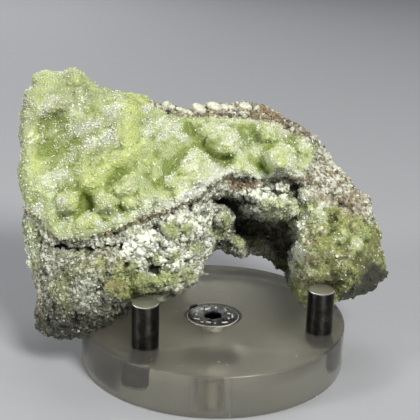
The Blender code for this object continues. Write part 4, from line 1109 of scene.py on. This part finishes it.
# Painted shade: the countersink's wall darkens the acrylic's colour
sink_wall_shade = times(spread(from_middle, 0.0071, 0.0069), spread(on_top, 1.0, 0.0))
sink_wall_shade = times(sink_wall_shade, spread(height, 0.0045, 0.0055))
haze_and_sink_shade = blend(sink_wall_shade, haze_and_sink_shade, (0.20, 0.19, 0.16))
fill(shader, {
    "Base Color": blend(dust_on_top, haze_and_sink_shade, (1.0, 1.0, 0.98)),
    "Roughness": sum_up('MULTIPLY_ADD', dust_on_top, 0.6, spread(on_top, 0.0, 1.0, 0.09, 0.27), clamp=True),
    "Transmission Weight": 0.95,
    "IOR": 1.49})
absorb = place("VolumeAbsorption", {"Color": (0.75, 0.66, 0.38), "Density": 6.5})
fill(tree.nodes["Material Output"], {"Volume": absorb.outputs[0]})
paint(disc, acrylic)
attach(disc, "root")
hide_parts("acrylic_disc")


# Pegs: three 6 mm dowel pins of ground steel with chamfered ends. They are pressed into the disc's
# holes, and the stone stands between them.

PEG_FOOT = 2.0
PEG_CHAMFER = 0.4

peg_steel, tree, shader = new_material("ground dowel steel")
where = own_place()
rings = place("Mapping", {"Vector": where, "Scale": (0.08, 0.08, 1.0)}).outputs[0]
ring_noise = place("TexNoise", {"Vector": rings, "Scale": 9000.0, "Detail": 2.0}).outputs["Fac"]
blotch = grain_noise(2.5, 4.0, 0.65)
# The end faces are painted far lighter than the barrel, as if lit from above; they are also rougher, as
# ground ends are
on_end = spread(place("SeparateXYZ", {0: where}).outputs["Z"], 0.0199, 0.0203)
barrel = blend(spread(blotch, 0.40, 0.68), (0.021, 0.020, 0.018), (0.050, 0.047, 0.042))
steel = blend(on_end, barrel, (0.98, 0.94, 0.88))
fill(shader, {"Base Color": blend(use_group(dust, Amount=0.6, Size=0.8), steel, (0.75, 0.74, 0.70))})
upright = sum_up('SUBTRACT', 1.0, on_end)
ground = place("CombineXYZ", {0: on_end, 2: upright}).outputs[0]
fill(shader, {"Tangent": ground, "Anisotropic": 0.9, "Metallic": 0.93})
worn = spread(sum_up('MULTIPLY_ADD', blotch, 0.6, ring_noise), 0.5, 1.1, 0.30, 0.44)
fill(shader, {"Roughness": sum_up('MULTIPLY_ADD', on_end, 0.22, worn)})
bump(ring_noise, 0.01, 0.5)

for peg_name, centre in PEG_CENTRES.items():
    peg = cylinder(peg_name + "_steel", PEG_RADIUS, PEG_FOOT, PEG_TOP, 72, centre)
    round_ends(peg, (PEG_FOOT, PEG_TOP), PEG_CHAMFER)
    smooth_sides(peg)
    paint(peg, peg_steel)
    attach(peg, "root")
    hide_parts(peg_name)


# Screw: a countersunk steel screw with a six-sided socket, sunk into the middle of the disc. A
# ring of plain raised dashes lies on its flat head.

SCREW_TOP = 9.65
HEAD_RADIUS = 6.1
HEAD_RIM = 0.5
HEAD_BEVEL = 0.12
SHANK_RADIUS = 2.9
SCREW_FOOT = 1.6
SOCKET_ACROSS = 4.0
SOCKET_DEPTH = 2.4
DASH_COUNT = 14
DASH_RING = 4.25
DASH_WIDTH = 0.40
DASH_HEIGHT = 0.26
DASH_BEVEL = 0.10

screw = cylinder("countersunk_screw", HEAD_RADIUS, SCREW_TOP - HEAD_RIM, SCREW_TOP, 96)
round_ends(screw, (SCREW_TOP,), HEAD_BEVEL)
pick(screw, 'FACE', lambda face: face.normal.z < -0.9)
taper = SHANK_RADIUS / HEAD_RADIUS
neck_depth = HEAD_RADIUS - SHANK_RADIUS
bpy.ops.mesh.extrude_region_move(TRANSFORM_OT_translate={"value": (0.0, 0.0, -neck_depth * MM)})
bpy.ops.transform.resize(value=(taper, taper, 1.0), center_override=(0.0, 0.0, 0.0))
shank_length = SCREW_TOP - HEAD_RIM - neck_depth - SCREW_FOOT
bpy.ops.mesh.extrude_region_move(TRANSFORM_OT_translate={"value": (0.0, 0.0, -shank_length * MM)})
bpy.ops.object.mode_set(mode='OBJECT')
socket_radius = 0.5 * SOCKET_ACROSS / math.cos(math.pi / 6.0)
cut_out(screw, cylinder("socket", socket_radius, SCREW_TOP - SOCKET_DEPTH, SCREW_TOP + 1.0, 6))

dashes = []
for i in range(DASH_COUNT):
    turn = math.radians(360.0 * (i + 0.25 * math.sin(5.0 * i)) / DASH_COUNT)
    length = (1.5, 0.8, 1.2, 0.6)[i % 4]
    slant = (0.0, 1.2, -0.35, 0.7, 0.15)[i % 5]
    ring = DASH_RING + (0.35, -0.3, 0.1)[i % 3]
    bpy.ops.mesh.primitive_cube_add(size=1.0, location=(0.0, 0.0, 0.0))
    dash = bpy.context.object
    dash.scale = (DASH_WIDTH * MM, length * MM, DASH_HEIGHT * MM)
    bpy.ops.object.transform_apply(location=True, rotation=True, scale=True)
    bpy.ops.object.mode_set(mode='EDIT')
    bpy.ops.mesh.select_all(action='SELECT')
    bpy.ops.mesh.bevel(offset=DASH_BEVEL * MM, segments=2, affect='EDGES')
    bpy.ops.object.mode_set(mode='OBJECT')
    dash.location = (ring * MM * math.cos(turn), ring * MM * math.sin(turn), SCREW_TOP * MM)
    dash.rotation_euler = (0.0, 0.0, turn + slant)
    bpy.ops.object.transform_apply(location=True, rotation=True, scale=True)
    dashes.append(dash)
only(screw)
for dash in dashes:
    dash.select_set(True)
bpy.ops.object.join()
smooth_sides(screw)

screw_steel, tree, shader = new_material("bright screw steel")
tarnish = grain_noise(1.4, 4.0, 0.6)
height = own_height()
# Painted shade: the screw's cone, down in the countersink, is near black
on_cone = times(spread(height, 0.0058, 0.0062), spread(height, 0.0094, 0.0090))
bright = blend(spread(tarnish, 0.40, 0.65), (0.34, 0.34, 0.33), (0.62, 0.62, 0.60))
fill(shader, {
    "Base Color": blend(on_cone, bright, (0.05, 0.05, 0.048)),
    "Metallic": 1.0,
    "Roughness": spread(tarnish, 0.3, 0.7, 0.22, 0.40)})
bump(grain_noise(0.5, 3.0), 0.03, 0.5)
# Painted highlight: the dashes and the head's rim take a pale steel that looks bright under any light
dash_steel, tree, shader = new_material("dashes and rim painted bright")
fill(shader, {"Base Color": (0.88, 0.88, 0.86), "Metallic": 0.35, "Roughness": 0.38})
bump(grain_noise(0.25, 3.0), 0.03)
paint(screw, screw_steel, dash_steel)
# The head's rim takes the same painted highlight as the dashes
for face in screw.data.polygons:
    centre = face.center / MM
    on_rim = centre.xy.length > HEAD_RADIUS - 0.12 and centre.z > SCREW_TOP - 0.2
    face.material_index = int(centre.z > SCREW_TOP + 0.005 or on_rim)
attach(screw, "root")
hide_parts("centre_screw")


# Studio: a plain pale floor, soft lights and the camera of the photograph.

bpy.ops.object.select_all(action='DESELECT')
bpy.ops.mesh.primitive_plane_add(size=6.0, location=(0.0, 0.0, -0.0001))
floor = bpy.context.object
floor.name = "studio_floor"
paper, tree, shader = new_material("pale paper floor")
fill(shader, {"Base Color": (0.40, 0.41, 0.43), "Roughness": 0.75})
paint(floor, paper)

world = bpy.data.worlds.new("studio")
bpy.context.scene.world = world
world.use_nodes = True
tree = world.node_tree
fill(tree.nodes["Background"], {"Color": (0.90, 0.94, 1.0), "Strength": 0.13})


def soft_light(name, where, size, power, colour, seen_through=True):
    """Add a square area light that looks at the stone."""
    data = bpy.data.lights.new(name, 'AREA')
    data.size = size
    data.energy = power
    data.color = colour
    light = bpy.data.objects.new(name, data)
    light.location = where
    aim = Vector((0.0, 0.0, 0.035)) - Vector(where)
    light.rotation_euler = aim.to_track_quat('-Z', 'Y').to_euler()
    light.visible_transmission = seen_through
    bpy.context.scene.collection.objects.link(light)


soft_light("key", (0.27, -0.50, 0.52), 0.22, 6.0, (1.0, 0.98, 0.94))
soft_light("left_fill", (-0.60, -0.30, 0.35), 0.15, 2.2, (1.0, 0.99, 0.97))
soft_light("top", (0.05, 0.25, 0.75), 0.40, 1.3, (1.0, 1.0, 1.0))
soft_light("back_fill", (-0.25, 0.60, 0.28), 0.40, 0.9, (1.0, 1.0, 1.0), False)

CAMERA_ROLL = math.radians(1.66)
CAMERA_FOCAL_PIXELS = 1015.8
IMAGE_PIXELS = 420.0
SENSOR_WIDTH = 36.0
right = Vector((1.0, 0.0, 0.0))
up = Vector((0.0, math.sin(VIEW_TILT), math.cos(VIEW_TILT)))
back = Vector((0.0, -math.cos(VIEW_TILT), math.sin(VIEW_TILT)))
camera_data = bpy.data.cameras.new("photo_view")
camera_data.sensor_width = SENSOR_WIDTH
camera_data.lens = SENSOR_WIDTH * CAMERA_FOCAL_PIXELS / IMAGE_PIXELS
camera_data.clip_start = 0.01
camera_data.clip_end = 20.0
camera = bpy.data.objects.new("photo_view", camera_data)
turned_right = math.cos(CAMERA_ROLL) * right + math.sin(CAMERA_ROLL) * up
turned_up = -math.sin(CAMERA_ROLL) * right + math.cos(CAMERA_ROLL) * up
pose = Matrix((turned_right, turned_up, back)).transposed().to_4x4()
pose.translation = Vector(VIEW_CENTRE * MM) + back * (VIEW_DISTANCE * MM)
camera.matrix_world = pose
bpy.context.scene.collection.objects.link(camera)
bpy.context.scene.camera = camera
bpy.context.scene.view_settings.view_transform = 'Standard'
